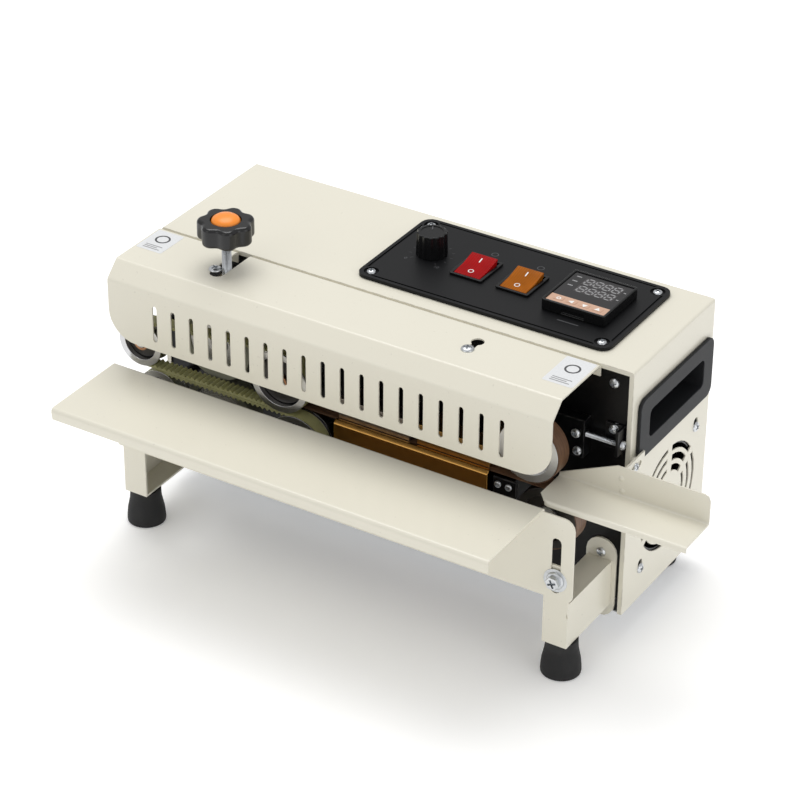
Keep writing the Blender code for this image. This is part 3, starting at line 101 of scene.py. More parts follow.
class Nodes:
    """The node tree of one finish."""

    def __init__(self, name: str) -> None:
        """Starts a material that holds only its Principled shader."""
        self.material = bpy.data.materials.new(name)
        self.material.use_nodes = True
        self.tree = self.material.node_tree
        self.shader = self.tree.nodes["Principled BSDF"]

    def node(self, kind: str, settings: dict[str, Any] | None = None,
             sockets: dict[Any, Any] | None = None) -> bpy.types.Node:
        """Adds a node.

        Args:
            kind: node type without its ShaderNode prefix.
            settings: properties, set before the sockets.
            sockets: values or links by socket name or number.

        Returns:
            The new node.
        """
        node = self.tree.nodes.new("ShaderNode" + kind)
        for key, value in (settings or {}).items():
            setattr(node, key, value)
        for key, value in (sockets or {}).items():
            self.feed(node.inputs[key], value)
        return node

    def feed(self, socket: bpy.types.NodeSocket, value: Any) -> None:
        """Links or sets one input socket."""
        source = value.socket if isinstance(value, Val) else value
        if isinstance(source, bpy.types.NodeSocket):
            self.tree.links.new(source, socket)
        elif socket.type == "RGBA":
            socket.default_value = (*source, 1.0)
        else:
            socket.default_value = source

    def spot(self, stretch: Sequence[float] = (1.0, 1.0, 1.0)) -> bpy.types.NodeSocket:
        """Object coordinates, stretched along the axes."""
        place = self.node("TexCoord").outputs["Object"]
        return self.node("Mapping", None, {"Vector": place, "Scale": stretch}).outputs[0]

    def noise(self, scale: float, detail: float = 2.0, stretch: Sequence[float] = (1.0, 1.0, 1.0)) -> Val:
        """Soft noise from 0 to 1 over the piece, in cycles per metre."""
        node = self.node("TexNoise", None, {"Vector": self.spot(stretch), "Scale": scale, "Detail": detail})
        return Val(self, node.outputs[0])

    def axis(self, index: int) -> Val:
        """One of the X, Y or Z object coordinates."""
        return Val(self, self.node("SeparateXYZ", None, {0: self.spot()}).outputs[index])

    def attribute(self, name: str) -> Val:
        """A number that the mesh carries."""
        return Val(self, self.node("Attribute", {"attribute_name": name}).outputs["Fac"])

    def rings(self, scale: float) -> Val:
        """Turning marks that follow the radius of a lathed piece."""
        node = self.node("TexNoise", {"noise_dimensions": "1D"}, {"W": self.attribute("lathe"), "Scale": scale,
                                                                 "Detail": 3.0})
        return Val(self, node.outputs[0])

    def mix(self, share: Any, first: Any, second: Any) -> bpy.types.NodeSocket:
        """Colour between first (share 0) and second (share 1)."""
        return self.node("Mix", {"data_type": "RGBA"}, {0: share, 6: first, 7: second}).outputs[2]

    def bump(self, height: Val, strength: float, depth: float) -> bpy.types.NodeSocket:
        """Normal from a height.

        Args:
            height: relief from 0 to 1.
            strength: share of the relief that shows.
            depth: depth of the relief in metres.

        Returns:
            The bumped normal.
        """
        return self.node("Bump", None, {"Strength": strength, "Distance": depth, "Height": height}).outputs[0]

    def shade(self, **sockets: Any) -> bpy.types.Material:
        """Feeds the shader's sockets, named with underscores, and gives the material."""
        for key, value in sockets.items():
            self.feed(self.shader.inputs[key.replace("_", " ").title().replace("Ior", "IOR")], value)
        return self.material


# ---------------------------------------------------------------- finishes
def tone(colour: Colour, by: float) -> Colour:
    """The colour made lighter or darker by a factor."""
    return tuple(min(1.0, c * by) for c in colour)


@dataclass(frozen=True)
class Finish:
    """A surface finish: its name, its main colour and a material slot name, which is not used."""

    name: str
    colour: Colour
    slot: str
    roughness: float = 0.4

    def dress(self, n: Nodes) -> bpy.types.Material:
        """Plain satin surface with faint unevenness."""
        cloud = n.noise(60.0)
        return n.shade(base_color=n.mix(cloud, tone(self.colour, 0.94), tone(self.colour, 1.05)),
                       roughness=cloud * 0.08 + (self.roughness - 0.04))

    def material(self) -> bpy.types.Material:
        """The finish's material, made once."""
        found = bpy.data.materials.get(self.name)
        return found or self.dress(Nodes(self.name))


@dataclass(frozen=True)
class PowderPaint(Finish):
    """Baked paint on sheet steel: slight orange peel, soft clouding, rubbed cut edges, a few specks."""

    edge: Colour = (0.42, 0.39, 0.33)
    shine: float = 0.5

    def dress(self, n: Nodes) -> bpy.types.Material:
        """Builds the paint."""
        cloud, peel, grain = n.noise(9.0, 3.0), n.noise(900.0, 1.0), n.noise(160.0, 4.0)
        wear = n.attribute("worn") * grain.between(0.36, 0.62) * 0.75
        specks = n.noise(520.0, 0.0).between(0.82, 0.85) * 0.22
        body = n.mix(cloud, tone(self.colour, 0.972), tone(self.colour, 1.018))
        return n.shade(base_color=n.mix(wear + specks, body, self.edge),
                       roughness=cloud * 0.08 + peel * 0.05 + (self.roughness - 0.06) + wear * 0.15,
                       normal=n.bump(peel, 0.10, 0.0002), specular_ior_level=self.shine)


@dataclass(frozen=True)
class MouldedPlastic(Finish):
    """Moulded plastic with a fine sparked grain and lighter rubbed edges."""

    grain: float = 0.25
    scale: float = 1900.0
    shine: float = 0.30

    def dress(self, n: Nodes) -> bpy.types.Material:
        """Builds the plastic."""
        fine, cloud = n.noise(self.scale, 2.0), n.noise(45.0, 3.0)
        wear = n.attribute("worn") * n.noise(300.0, 3.0).between(0.3, 0.6)
        body = n.mix(cloud, tone(self.colour, 0.88), tone(self.colour, 1.14))
        return n.shade(base_color=n.mix(wear * 0.4, body, tone(self.colour, 2.6)),
                       roughness=fine * 0.10 + cloud * 0.08 + (self.roughness - 0.09),
                       normal=n.bump(fine, self.grain, 0.00006), specular_ior_level=self.shine)


@dataclass(frozen=True)
class Rubber(Finish):
    """Moulded rubber, dull, with a trace of dust."""

    def dress(self, n: Nodes) -> bpy.types.Material:
        """Builds the rubber."""
        dust = n.noise(70.0, 5.0).between(0.45, 0.75)
        fine = n.noise(1400.0, 2.0)
        return n.shade(base_color=n.mix(dust * 0.25, self.colour, tone(self.colour, 2.2)),
                       roughness=self.roughness - dust * 0.1, normal=n.bump(fine, 0.3, 0.0001))


@dataclass(frozen=True)
class Metal(Finish):
    """Bare or plated metal, with drawn lines along one axis where stretched, and dull spots."""

    stretch: tuple[float, float, float] = (1.0, 1.0, 1.0)
    lines: float = 0.15
    patch: float = 0.22

    def dress(self, n: Nodes) -> bpy.types.Material:
        """Builds the metal."""
        drawn, spots = n.noise(900.0, 3.0, self.stretch), n.noise(120.0, 4.0)
        body = n.mix(spots.between(0.35, 0.75), self.colour, tone(self.colour, 1.0 - self.patch))
        return n.shade(base_color=body, metallic=1.0,
                       roughness=drawn * (self.patch * 0.6) + spots * (self.patch * 0.5)
                       + (self.roughness - self.patch * 0.55),
                       normal=n.bump(drawn, self.lines, 0.00005))


@dataclass(frozen=True)
class TurnedMetal(Finish):
    """Lathe-turned metal with ring marks round its own axis."""

    marks: float = 0.25

    def dress(self, n: Nodes) -> bpy.types.Material:
        """Builds the metal."""
        ring, spots = n.rings(3200.0), n.noise(90.0, 3.0)
        return n.shade(base_color=n.mix(spots, tone(self.colour, 0.86), self.colour), metallic=1.0,
                       roughness=ring * 0.16 + spots * 0.08 + (self.roughness - 0.12),
                       normal=n.bump(ring, self.marks, 0.00006))


@dataclass(frozen=True)
class WovenBand(Finish):
    """Brown slip-coated glass cloth: a fine plain weave with burnished streaks along its run."""

    def dress(self, n: Nodes) -> bpy.types.Material:
        """Builds the band."""
        run, across = n.attribute("run"), n.axis(1)
        weave = (run * 5200.0).sine() * (across * 5200.0).sine() * 0.5 + 0.5
        streak = n.noise(60.0, 4.0, (1.0, 14.0, 1.0))
        body = n.mix(streak.between(0.3, 0.7), tone(self.colour, 0.72), tone(self.colour, 1.3))
        return n.shade(base_color=n.mix(weave * 0.35, body, tone(self.colour, 0.5)),
                       roughness=weave * 0.12 + (self.roughness - 0.06), normal=n.bump(weave, 0.35, 0.00008))


@dataclass(frozen=True)
class CastBelt(Finish):
    """Olive cast belt, slightly waxy, with soft clouding."""

    def dress(self, n: Nodes) -> bpy.types.Material:
        """Builds the belt."""
        cloud, fine = n.noise(110.0, 4.0), n.noise(1500.0, 2.0)
        wear = n.attribute("worn") * 0.5
        body = n.mix(cloud, tone(self.colour, 0.78), tone(self.colour, 1.2))
        return n.shade(base_color=n.mix(wear, body, tone(self.colour, 1.5)),
                       roughness=cloud * 0.12 + (self.roughness - 0.06), normal=n.bump(fine, 0.2, 0.0001),
                       subsurface_weight=0.15, subsurface_radius=(0.003, 0.003, 0.001), subsurface_scale=0.6)


@dataclass(frozen=True)
class LitPlastic(Finish):
    """Clear-tinted switch plastic whose inner ribs show faintly through it."""

    def dress(self, n: Nodes) -> bpy.types.Material:
        """Builds the plastic."""
        ribs = (n.axis(0) * 3600.0).sine() * 0.5 + 0.5
        depth = n.noise(90.0, 2.0)
        body = n.mix(depth.between(0.3, 0.7), tone(self.colour, 0.86), tone(self.colour, 1.08))
        return n.shade(base_color=n.mix(ribs * 0.45, body, tone(self.colour, 0.40)),
                       roughness=depth * 0.06 + (self.roughness - 0.03), specular_ior_level=0.10)


@dataclass(frozen=True)
class Print(Finish):
    """Thin ink or printed film, slightly uneven."""

    def dress(self, n: Nodes) -> bpy.types.Material:
        """Builds the print."""
        spread = n.noise(700.0, 3.0)
        return n.shade(base_color=n.mix(spread, tone(self.colour, 0.86), tone(self.colour, 1.06)),
                       roughness=spread * 0.1 + (self.roughness - 0.05))


CREAM = PowderPaint("cream_enamel", (0.735, 0.705, 0.600), "cream", 0.24)
BLACK = PowderPaint("black_enamel", (0.0040, 0.0040, 0.0043), "black", 0.30, edge=(0.05, 0.05, 0.05), shine=0.22)
PANEL = MouldedPlastic("panel_plastic", (0.0065, 0.0067, 0.0075), "panel", 0.44, shine=0.16)
GLOSSY = MouldedPlastic("glossy_plastic", (0.0045, 0.0046, 0.0050), "panel", 0.24, grain=0.08, shine=0.28)
KNOB = MouldedPlastic("knob_plastic", (0.0042, 0.0042, 0.0046), "panel", 0.20, grain=0.04, shine=0.5)
GREY = MouldedPlastic("handle_plastic", (0.017, 0.018, 0.020), "handle", 0.50, grain=0.4, shine=0.2)
# near-black plastic: the fan blades' own colour, and painted shade where it lines the handle pockets
DARK_PLASTIC_AND_POCKET_SHADE = MouldedPlastic("blade_plastic_and_pocket_shade", (0.0028, 0.0028, 0.0031), "panel", 0.60, shine=0.05)
FEET = Rubber("foot_rubber", (0.006, 0.006, 0.0065), "rubber", 0.72)
ROLLER = Rubber("roller_rubber", (0.22, 0.22, 0.17), "roller", 0.60)
NICKEL = Metal("satin_nickel", (0.80, 0.80, 0.81), "alu", 0.34, patch=0.12)
CHROME = TurnedMetal("turned_chrome", (0.62, 0.62, 0.63), "chrome", 0.20)
ALLOY = TurnedMetal("turned_alloy", (0.52, 0.52, 0.53), "alu", 0.26)
DULL = TurnedMetal("blackened_hub", (0.10, 0.095, 0.09), "mech", 0.42)
COPPER = TurnedMetal("bronze_bush", (0.42, 0.22, 0.12), "bronze", 0.34)
ZINC = Metal("zinc_plate", (0.66, 0.68, 0.70), "zinc", 0.30)
BLOCKS = Metal("machined_block", (0.44, 0.40, 0.36), "block", 0.34, stretch=(0.1, 1.0, 1.0))
BRASS = Metal("hot_block", (0.46, 0.28, 0.10), "bronze", 0.38, stretch=(0.1, 1.0, 1.0), patch=0.12)
BRONZE = Metal("bronze_sheet", (0.56, 0.30, 0.080), "bronze", 0.24, stretch=(0.02, 1.0, 1.0), lines=0.0, patch=0.05)
BAND = WovenBand("glass_band", (0.155, 0.082, 0.045), "band", 0.42)
BELT = CastBelt("olive_belt", (0.385, 0.375, 0.175), "belt", 0.50)
RED = LitPlastic("red_lens", (0.36, 0.0008, 0.0020), "red", 0.20)
AMBER = LitPlastic("amber_lens", (0.36, 0.098, 0.0006), "amber", 0.20)
ORANGE = Finish("orange_cap", (0.90, 0.27, 0.025), "orange", 0.33)
KEYS = Print("key_film", (0.58, 0.36, 0.25), "key", 0.45)
BLUE = Print("blue_film", (0.10, 0.24, 0.36), "key", 0.40)
WHITE_INK = Print("white_ink", (0.82, 0.82, 0.80), "cream", 0.50)
GREY_INK = Print("grey_ink", (0.060, 0.061, 0.065), "handle", 0.50)
SEGMENT = Print("segment_grey", (0.30, 0.30, 0.305), "handle", 0.40)
GLASS = Finish("dark_window", (0.012, 0.011, 0.012), "black", 0.12)
ROWS = Print("smoked_row", (0.026, 0.022, 0.023), "black", 0.30)
VINYL = Print("label_vinyl", (0.74, 0.75, 0.76), "cream", 0.35)
MOTOR = Metal("motor_shell", (0.16, 0.16, 0.17), "motor", 0.45)
MECH = Metal("gear_steel", (0.45, 0.45, 0.46), "mech", 0.38)


# ---------------------------------------------------------------- shaping
class Axis(Enum):
    """A direction of the machine, with how outline coordinates lie about it."""

    X = "x"
    Y = "y"
    Z = "z"

    def at(self, a: float, b: float, t: float) -> Vector:
        """Point from outline coordinates (a, b) at distance t along the axis."""
        return Vector({"x": (t, a, b), "y": (a, t, b), "z": (a, b, t)}[self.value])


def bow(cx: float, cy: float, r: float, start: float, end: float, steps: int) -> Outline:
    """Points on an arc, angles in degrees."""
    turns = [math.radians(start + (end - start) * i / steps) for i in range(steps + 1)]
    return [(cx + r * math.cos(a), cy + r * math.sin(a)) for a in turns]


def box_line(x0: float, y0: float, x1: float, y1: float, r: float, steps: int = 6) -> Outline:
    """Rectangle outline with round corners."""
    return (bow(x0 + r, y0 + r, r, 180, 270, steps) + bow(x1 - r, y0 + r, r, 270, 360, steps)
            + bow(x1 - r, y1 - r, r, 0, 90, steps) + bow(x0 + r, y1 - r, r, 90, 180, steps))


def rounded_line(points: Outline, r: float, steps: int = 3) -> Outline:
    """A turned piece's profile with its inner corners rounded.

    Args:
        points: profile as (radius, distance) pairs.
        r: corner radius.
        steps: segments in each corner.

    Returns:
        The rounded profile.
    """
    out = [points[0]]
    for before, here, after in zip(points, points[1:], points[2:]):
        p, a, b = Vector(here), Vector(before) - Vector(here), Vector(after) - Vector(here)
        reach = min(r, a.length * 0.45, b.length * 0.45)
        first, last = p + a.normalized() * reach, p + b.normalized() * reach
        for i in range(steps + 1):
            s = i / steps
            out.append(tuple(first.lerp(p, s).lerp(p.lerp(last, s), s)))
    return out + [points[-1]]


class Shape:
    """A solid being made: a bmesh with the few operations this machine's pieces need."""

    def __init__(self) -> None:
        """Starts empty, with the numbers that the finishes read."""
        self.bm = bmesh.new()
        self._layers()

    def _layers(self) -> None:
        """Makes sure that the worn, lathe and run numbers exist."""
        if not self.bm.faces.layers.float.get("worn"):
            self.bm.faces.layers.float.new("worn")
        for name in ("lathe", "run"):
            if not self.bm.verts.layers.float.get(name):
                self.bm.verts.layers.float.new(name)

    @classmethod
    def of_node(cls, node: str) -> "Shape":
        """Copy of a CAD node's solid, merged, with its flat faces whole."""
        shape = cls()
        shape.bm.from_mesh(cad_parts[node].data)
        shape._layers()
        bmesh.ops.remove_doubles(shape.bm, verts=shape.bm.verts, dist=2e-6)
        bmesh.ops.dissolve_limit(shape.bm, angle_limit=math.radians(0.7), verts=shape.bm.verts,
                                 edges=shape.bm.edges)
        return shape

    def prism(self, axis: Axis, outline: Outline, start: float, end: float) -> "Shape":
        """Pushes an outline along an axis."""
        face = self.bm.faces.new([self.bm.verts.new(axis.at(a, b, start)) for a, b in outline])
        grown = bmesh.ops.extrude_face_region(self.bm, geom=[face], use_keep_orig=True)
        moved = [g for g in grown["geom"] if isinstance(g, bmesh.types.BMVert)]
        bmesh.ops.translate(self.bm, verts=moved, vec=axis.at(0, 0, end - start))
        return self

    def block(self, low: Sequence[float], high: Sequence[float]) -> "Shape":
        """Adds a box between two corners."""
        lo, hi = Vector(low), Vector(high)
        place = Matrix.Translation((lo + hi) / 2) @ Matrix.Diagonal((*(hi - lo), 1.0))
        bmesh.ops.create_cube(self.bm, size=1.0, matrix=place)
        return self

    def lathe(self, axis: Axis, profile: Outline, centre: Sequence[float], steps: int = 64) -> "Shape":
        """Turns a profile about an axis, and keeps each point's radius.

        Args:
            axis: direction of the turning axis.
            profile: (radius, distance) pairs; a profile that ends on the axis closes there.
            centre: where the axis crosses the plane.
            steps: segments round.

        Returns:
            The shape itself.
        """
        before = set(self.bm.verts)
        loop = profile if profile[0][0] < 1e-9 else profile + profile[:1]
        verts = [self.bm.verts.new(axis.at(centre[0] + r, centre[1], t)) for r, t in loop]
        edges = [self.bm.edges.new(pair) for pair in zip(verts, verts[1:])]
        bmesh.ops.spin(self.bm, geom=verts + edges, cent=axis.at(*centre, 0), axis=axis.at(0, 0, 1),
                       angle=2 * math.pi, steps=steps, use_merge=True)
        bmesh.ops.remove_doubles(self.bm, verts=[v for v in self.bm.verts if v not in before], dist=1e-6)
        layer = self.bm.verts.layers.float["lathe"]
        middle, along = axis.at(*centre, 0), axis.at(0, 0, 1)
        for v in self.bm.verts:
            if v not in before:
                out = v.co - middle
                v[layer] = (out - along * out.dot(along)).length
        return self

    def add(self, other: "Shape", place: Matrix | None = None) -> "Shape":
        """Adds a copy of another shape, moved by a matrix."""
        before = set(self.bm.verts)
        mesh = bpy.data.meshes.new("part")
        other.bm.to_mesh(mesh)
        self.bm.from_mesh(mesh)
        bpy.data.meshes.remove(mesh)
        if place is not None:
            bmesh.ops.transform(self.bm, matrix=place, verts=[v for v in self.bm.verts if v not in before])
        return self

    def carve(self, cutter: "Shape") -> "Shape":
        """Takes the cutter's solid out of this one."""
        made = []
        for name, shape in (("work", self), ("cutter", cutter)):
            bmesh.ops.recalc_face_normals(shape.bm, faces=shape.bm.faces)
            mesh = bpy.data.meshes.new(name)
            shape.bm.to_mesh(mesh)
            shape.bm.free()
            made.append(bpy.data.objects.new(name, mesh))
            bpy.context.collection.objects.link(made[-1])
        cut = made[0].modifiers.new("cut", "BOOLEAN")
        cut.object, cut.solver, cut.use_self = made[1], "EXACT", True
        graph = bpy.context.evaluated_depsgraph_get()
        mesh = bpy.data.meshes.new_from_object(made[0].evaluated_get(graph), depsgraph=graph)
        self.bm = bmesh.new()
        self.bm.from_mesh(mesh)
        self._layers()
        bpy.data.meshes.remove(mesh)
        for obj in made:
            bpy.data.meshes.remove(obj.data)
        return self

    def strip(self, first: list[bmesh.types.BMVert], second: list[bmesh.types.BMVert]) -> None:
        """Joins two closed rings of as many vertices with four-sided faces."""
        for i in range(len(first)):
            self.bm.faces.new((first[i - 1], first[i], second[i], second[i - 1]))

    def ease(self, width: float, segments: int = 2, angle: float = 40.0,
             where: Callable[[bmesh.types.BMEdge], bool] | None = None) -> "Shape":
        """Rounds the sharp edges, and marks the new faces as worn.

        Args:
            width: width of the rounding.
            segments: steps across it.
            angle: smallest fold, in degrees, that counts as sharp.
            where: which of the sharp edges to round, all of them if left out.

        Returns:
            The shape itself.
        """
        edges = [e for e in self.bm.edges if len(e.link_faces) == 2
                 and e.calc_face_angle(0.0) > math.radians(angle) and (where is None or where(e))]
        if edges:
            done = bmesh.ops.bevel(self.bm, geom=edges, offset=width, offset_type="OFFSET", affect="EDGES",
                                   segments=segments, profile=0.5, clamp_overlap=True, material=-1)
            layer = self.bm.faces.layers.float["worn"]
            for face in done["faces"]:
                face[layer] = 1.0
        return self

    def piece(self, name: str, finish: Finish, body: str, stands_for: Iterable[str] = (),
              smooth: float = 35.0) -> bpy.types.Object:
        """Finishes the shape as a piece of the machine.

        Args:
            name: the piece's name.
            finish: its surface.
            body: the moving body that carries it.
            stands_for: CAD nodes that it takes the place of.
            smooth: largest fold, in degrees, that is shaded smooth.

        Returns:
            The new object.
        """
        bmesh.ops.recalc_face_normals(self.bm, faces=self.bm.faces)
        mesh = bpy.data.meshes.new(name)
        self.bm.to_mesh(mesh)
        self.bm.free()
        mesh.shade_smooth()
        mesh.set_sharp_from_angle(angle=math.radians(smooth))
        mesh.materials.clear()
        mesh.materials.append(finish.material())
        piece = bpy.data.objects.new(name, mesh)
        bpy.context.collection.objects.link(piece)
        even = piece.modifiers.new("Even shading", "WEIGHTED_NORMAL")
        even.keep_sharp = True
        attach(piece, body)
        if stands_for:
            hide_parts(*stands_for)
        LOG.info("%s rides on %s, %d faces", name, body, len(mesh.polygons))
        return piece


def middle(node: str) -> Vector:
    """Middle of a CAD node's box."""
    lo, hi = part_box(node)
    return (lo + hi) / 2


def lettering(words: str, height: float, spot: Sequence[float], turn: float = 0.0) -> Shape:
    """Flat plain lettering in the XY plane.

    Args:
        words: what it says.
        height: height of the capitals in metres.
        spot: middle of the words.
        turn: angle about Z in degrees.

    Returns:
        The letters as a thin solid shape.
    """
    curve = bpy.data.curves.new("words", "FONT")
    curve.body, curve.size, curve.align_x, curve.align_y = words, height * 1.38, "CENTER", "CENTER"
    curve.resolution_u = 3
    holder = bpy.data.objects.new("words", curve)
    bpy.context.collection.objects.link(holder)
    graph = bpy.context.evaluated_depsgraph_get()
    mesh = bpy.data.meshes.new_from_object(holder.evaluated_get(graph))
    shape = Shape()
    shape.bm.from_mesh(mesh)
    shape._layers()
    bpy.data.meshes.remove(mesh)
    bpy.data.objects.remove(holder)
    bpy.data.curves.remove(curve)
    return solid_film(shape, Matrix.Translation(spot) @ Matrix.Rotation(math.radians(turn), 4, "Z"))


def solid_film(flat: Shape, place: Matrix, thick: float = 0.00006) -> Shape:
    """Gives flat faces in the XY plane a film's thickness and puts them in place."""
    grown = bmesh.ops.extrude_face_region(flat.bm, geom=flat.bm.faces[:], use_keep_orig=True)
    moved = [g for g in grown["geom"] if isinstance(g, bmesh.types.BMVert)]
    bmesh.ops.translate(flat.bm, verts=moved, vec=(0, 0, thick))
    bmesh.ops.transform(flat.bm, matrix=place, verts=flat.bm.verts)
    return flat


# ---------------------------------------------------------------- fasteners
class Drive(Enum):
    """What turns a fastener."""

    CROSS = "cross"
    HEXAGON = "hexagon with a cross"


@dataclass
class Screw:
    """Machine screw head with a cross recess, and a washer where wanted."""

    head: float = 0.0033
    rise: float = 0.0022
    washer: float = 0.0
    drive: Drive = Drive.CROSS

    def shape(self) -> Shape:
        """One head, standing on the XY plane."""
        r, h = self.head, self.rise
        if self.drive is Drive.HEXAGON:
            head = Shape()
            bmesh.ops.create_cone(head.bm, cap_ends=True, segments=6, radius1=r, radius2=r, depth=h,
                                  matrix=Matrix.Translation((0, 0, h / 2)))
            head.ease(h * 0.12, 2)
            head.lathe(Axis.Z, rounded_line([(0, h * 0.28), (r * 1.12, h * 0.25), (r * 1.30, 0), (0, 0)], h * 0.1, 2),
                       (0, 0), 32)
        else:
            head = Shape().lathe(Axis.Z, [(0, h), (r * 0.45, h * 0.96), (r * 0.74, h * 0.82), (r * 0.92, h * 0.55),
                                          (r, h * 0.22), (r, 0), (0, 0)], (0, 0), 28)
        cross = Shape()
        wide, deep = r * 0.15, h * 0.72
        for x, y in ((r * 0.62, wide), (wide, r * 0.62)):
            cross.block((-x, -y, h - deep), (x, y, h * 1.3))
        head.carve(cross)
        if self.washer:
            ring = Shape().lathe(Axis.Z, rounded_line([(0, 0), (0, -0.0001), (self.washer, -0.0001),
                                                       (self.washer, -0.0013), (0, -0.0013)], 0.0003), (0, 0), 48)
            head.add(ring)
        return head

    def at(self, spots: Iterable[Sequence[float]], facing: Sequence[float]) -> Shape:
        """Heads at several spots.

        Args:
            spots: where each head sits, on the surface.
            facing: direction that the heads face.

        Returns:
            The heads as one shape.
        """
        one, group = self.shape(), Shape()
        face = Vector(facing).to_track_quat("Z", "Y").to_matrix().to_4x4()
        for i, spot in enumerate(spots):
            spin = Matrix.Rotation(math.radians(23 + 47 * i), 4, "Z")
            group.add(one, Matrix.Translation(spot) @ face @ spin)
        return group


def thread(r: float, start: float, end: float, pitch: float = 0.0008, depth: float = 0.00035) -> Outline:
    """Profile of a threaded rod from start to end, closed on its axis."""
    turns = max(2, int(abs(end - start) / pitch))
    out: Outline = [(0, start), (r - depth, start)]
    for i in range(turns):
        out += [(r, start + (end - start) * (i + 0.5) / turns), (r - depth, start + (end - start) * (i + 1) / turns)]
    return out + [(0, end)]


# ---------------------------------------------------------------- cabinet
@dataclass
class Cabinet:
    """Folded cabinet with its back, base, black front wall and side fasteners."""

    ease: float = 0.0003
    slot_w: float = 0.0060
    slot_h: float = 0.0112
    side_screws: tuple[tuple[float, float], ...] = ((0.1069, 0.1234), (0.0328, 0.0488))
    wall_screws: tuple[tuple[float, float], ...] = ((0.1396, 0.2014), (0.1424, 0.1682), (-0.120, 0.196),
                                                    (-0.020, 0.196), (0.060, 0.090), (-0.105, 0.090))

    def build(self) -> None:
        """Builds and dresses the cabinet."""
        lo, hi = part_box("cabinet_shell")
        slots = Shape()
        for face in (lo.x, hi.x):
            for y, z in self.side_screws:
                slots.prism(Axis.X, self.keyhole(y, z), face - 0.004, face + 0.004)
        Shape.of_node("cabinet_shell").ease(self.ease, 3).carve(slots).piece(
            "cabinet_skin", CREAM, "cabinet", ["cabinet_shell"])
        Shape.of_node("back_panel").ease(0.0003).piece("back_skin", CREAM, "cabinet", ["back_panel"])
        Shape.of_node("front_wall").ease(0.0003).piece("wall_skin", BLACK, "cabinet", ["front_wall"])
        Shape.of_node("base_plate").ease(0.0003).piece("base_skin", ZINC, "cabinet", ["base_plate"])
        side = Screw(0.0037, 0.0020)
        side.at([(hi.x, y, z - 0.0016) for y, z in self.side_screws], (1, 0, 0)).piece(
            "right_side_screws", ZINC, "cabinet")
        side.at([(lo.x, y, z - 0.0016) for y, z in self.side_screws], (-1, 0, 0)).piece(
            "left_side_screws", ZINC, "cabinet")
        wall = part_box("front_wall")[0].y
        Screw(0.0036, 0.0024).at([(x, wall, z) for x, z in self.wall_screws], (0, -1, 0)).piece(
            "wall_screws", ZINC, "cabinet")
        back = hi.y
        spots = [(x, back, z) for x in (lo.x + 0.010, (lo.x + hi.x) / 2, hi.x - 0.010)
                 for z in (lo.z + 0.012, hi.z - 0.012)]
        Screw(0.0030, 0.0018).at(spots, (0, 1, 0)).piece("back_screws", ZINC, "cabinet")

    def keyhole(self, y: float, z: float) -> Outline:
        """Upright round-ended slot about (y, z)."""
        r, half = self.slot_w / 2, self.slot_h / 2
        return bow(y, z - half + r, r, 180, 360, 8) + bow(y, z + half - r, r, 0, 180, 8)


@dataclass
class Cover:
    """Folded front cover, its two fixing screws and two plain labels."""

    screws: tuple[tuple[float, float], ...] = ((0.0470, -0.0225), (-0.1544, -0.0224))
    labels: tuple[tuple[float, float, float, float], ...] = ((-0.2205, -0.0245, -0.1990, 0.0040),
                                                             (0.1065, -0.0295, 0.1290, 0.0050))

    def build(self) -> None:
        """Builds and dresses the cover."""
        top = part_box("front_cover")[1].z
        Shape.of_node("front_cover").ease(0.0004, 2, 50.0).piece("cover_skin", CREAM, "cabinet", ["front_cover"])
        Screw(0.0046, 0.0020).at([(x, y, top) for x, y in self.screws], (0, 0, 1)).piece(
            "cover_screws", ZINC, "cabinet")
        film, bars, frame_lines = Shape(), Shape(), Shape()
        for x0, y0, x1, y1 in self.labels:
            film.prism(Axis.Z, box_line(x0, y0, x1, y1, 0.0012), top, top + 0.00012)
            self.label_print(bars, frame_lines, x0, y0, x1, y1, top + 0.00012)
        film.piece("label_film", VINYL, "cabinet")
        bars.piece("label_bars", SEGMENT, "cabinet")
        frame_lines.piece("label_frames", GREY_INK, "cabinet")

    def label_print(self, bars: Shape, lines: Shape, x0: float, y0: float, x1: float, y1: float, z: float) -> None:
        """Adds a plain ring and three plain bars to one label."""
        cx, cy, up = (x0 + x1) / 2, y0 + (y1 - y0) * 0.62, z + 0.00005
        ring = Shape().lathe(Axis.Z, [(0.0042, z), (0.0056, z), (0.0056, up), (0.0042, up)], (cx, cy), 32)
        lines.add(ring)
        for i in range(3):
            y = y0 + 0.0028 + 0.0021 * i
            bars.block((x0 + 0.004, y, z), (x1 - 0.004 - 0.003 * (i % 2), y + 0.0009, up))


@dataclass
class Handle:
    """Flush pull moulded in grey, with a near-black sheet in its pocket as painted shade."""

    side: str
    # thickness of the near-black sheet that paints the pocket's shade
    shade_sheet: float = 0.0006

    def build(self) -> None:
        """Builds and dresses the pull."""
        node = self.side + "_handle"
        lo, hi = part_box(node)
        Shape.of_node(node).ease(0.0008, 3).piece(node + "_skin", GREY, "cabinet", [node])
        c = (lo + hi) / 2
        deep = lo.x + 0.0026 if self.side == "right" else hi.x - 0.0026
        step = self.shade_sheet if self.side == "right" else -self.shade_sheet
        # painted shade: a thin near-black sheet inside the pocket darkens the recess where the grey moulding lies in
        # shade
        Shape().prism(Axis.X, box_line(c.y - 0.0393, c.z - 0.0105, c.y + 0.0393, c.z + 0.0105, 0.0035),
                      *sorted((deep, deep + step))).ease(0.0002).piece(self.side + "_pocket_painted_shade", DARK_PLASTIC_AND_POCKET_SHADE, "cabinet")


@dataclass
class Rear:
    """Mains inlet on the back."""

    pin: tuple[float, float, float] = (0.0010, 0.012, 0.0020)

    def build(self) -> None:
        """Builds and dresses the inlet."""
        Shape.of_node("power_inlet").ease(0.0003).piece("inlet_body", GLOSSY, "cabinet", ["power_inlet"])


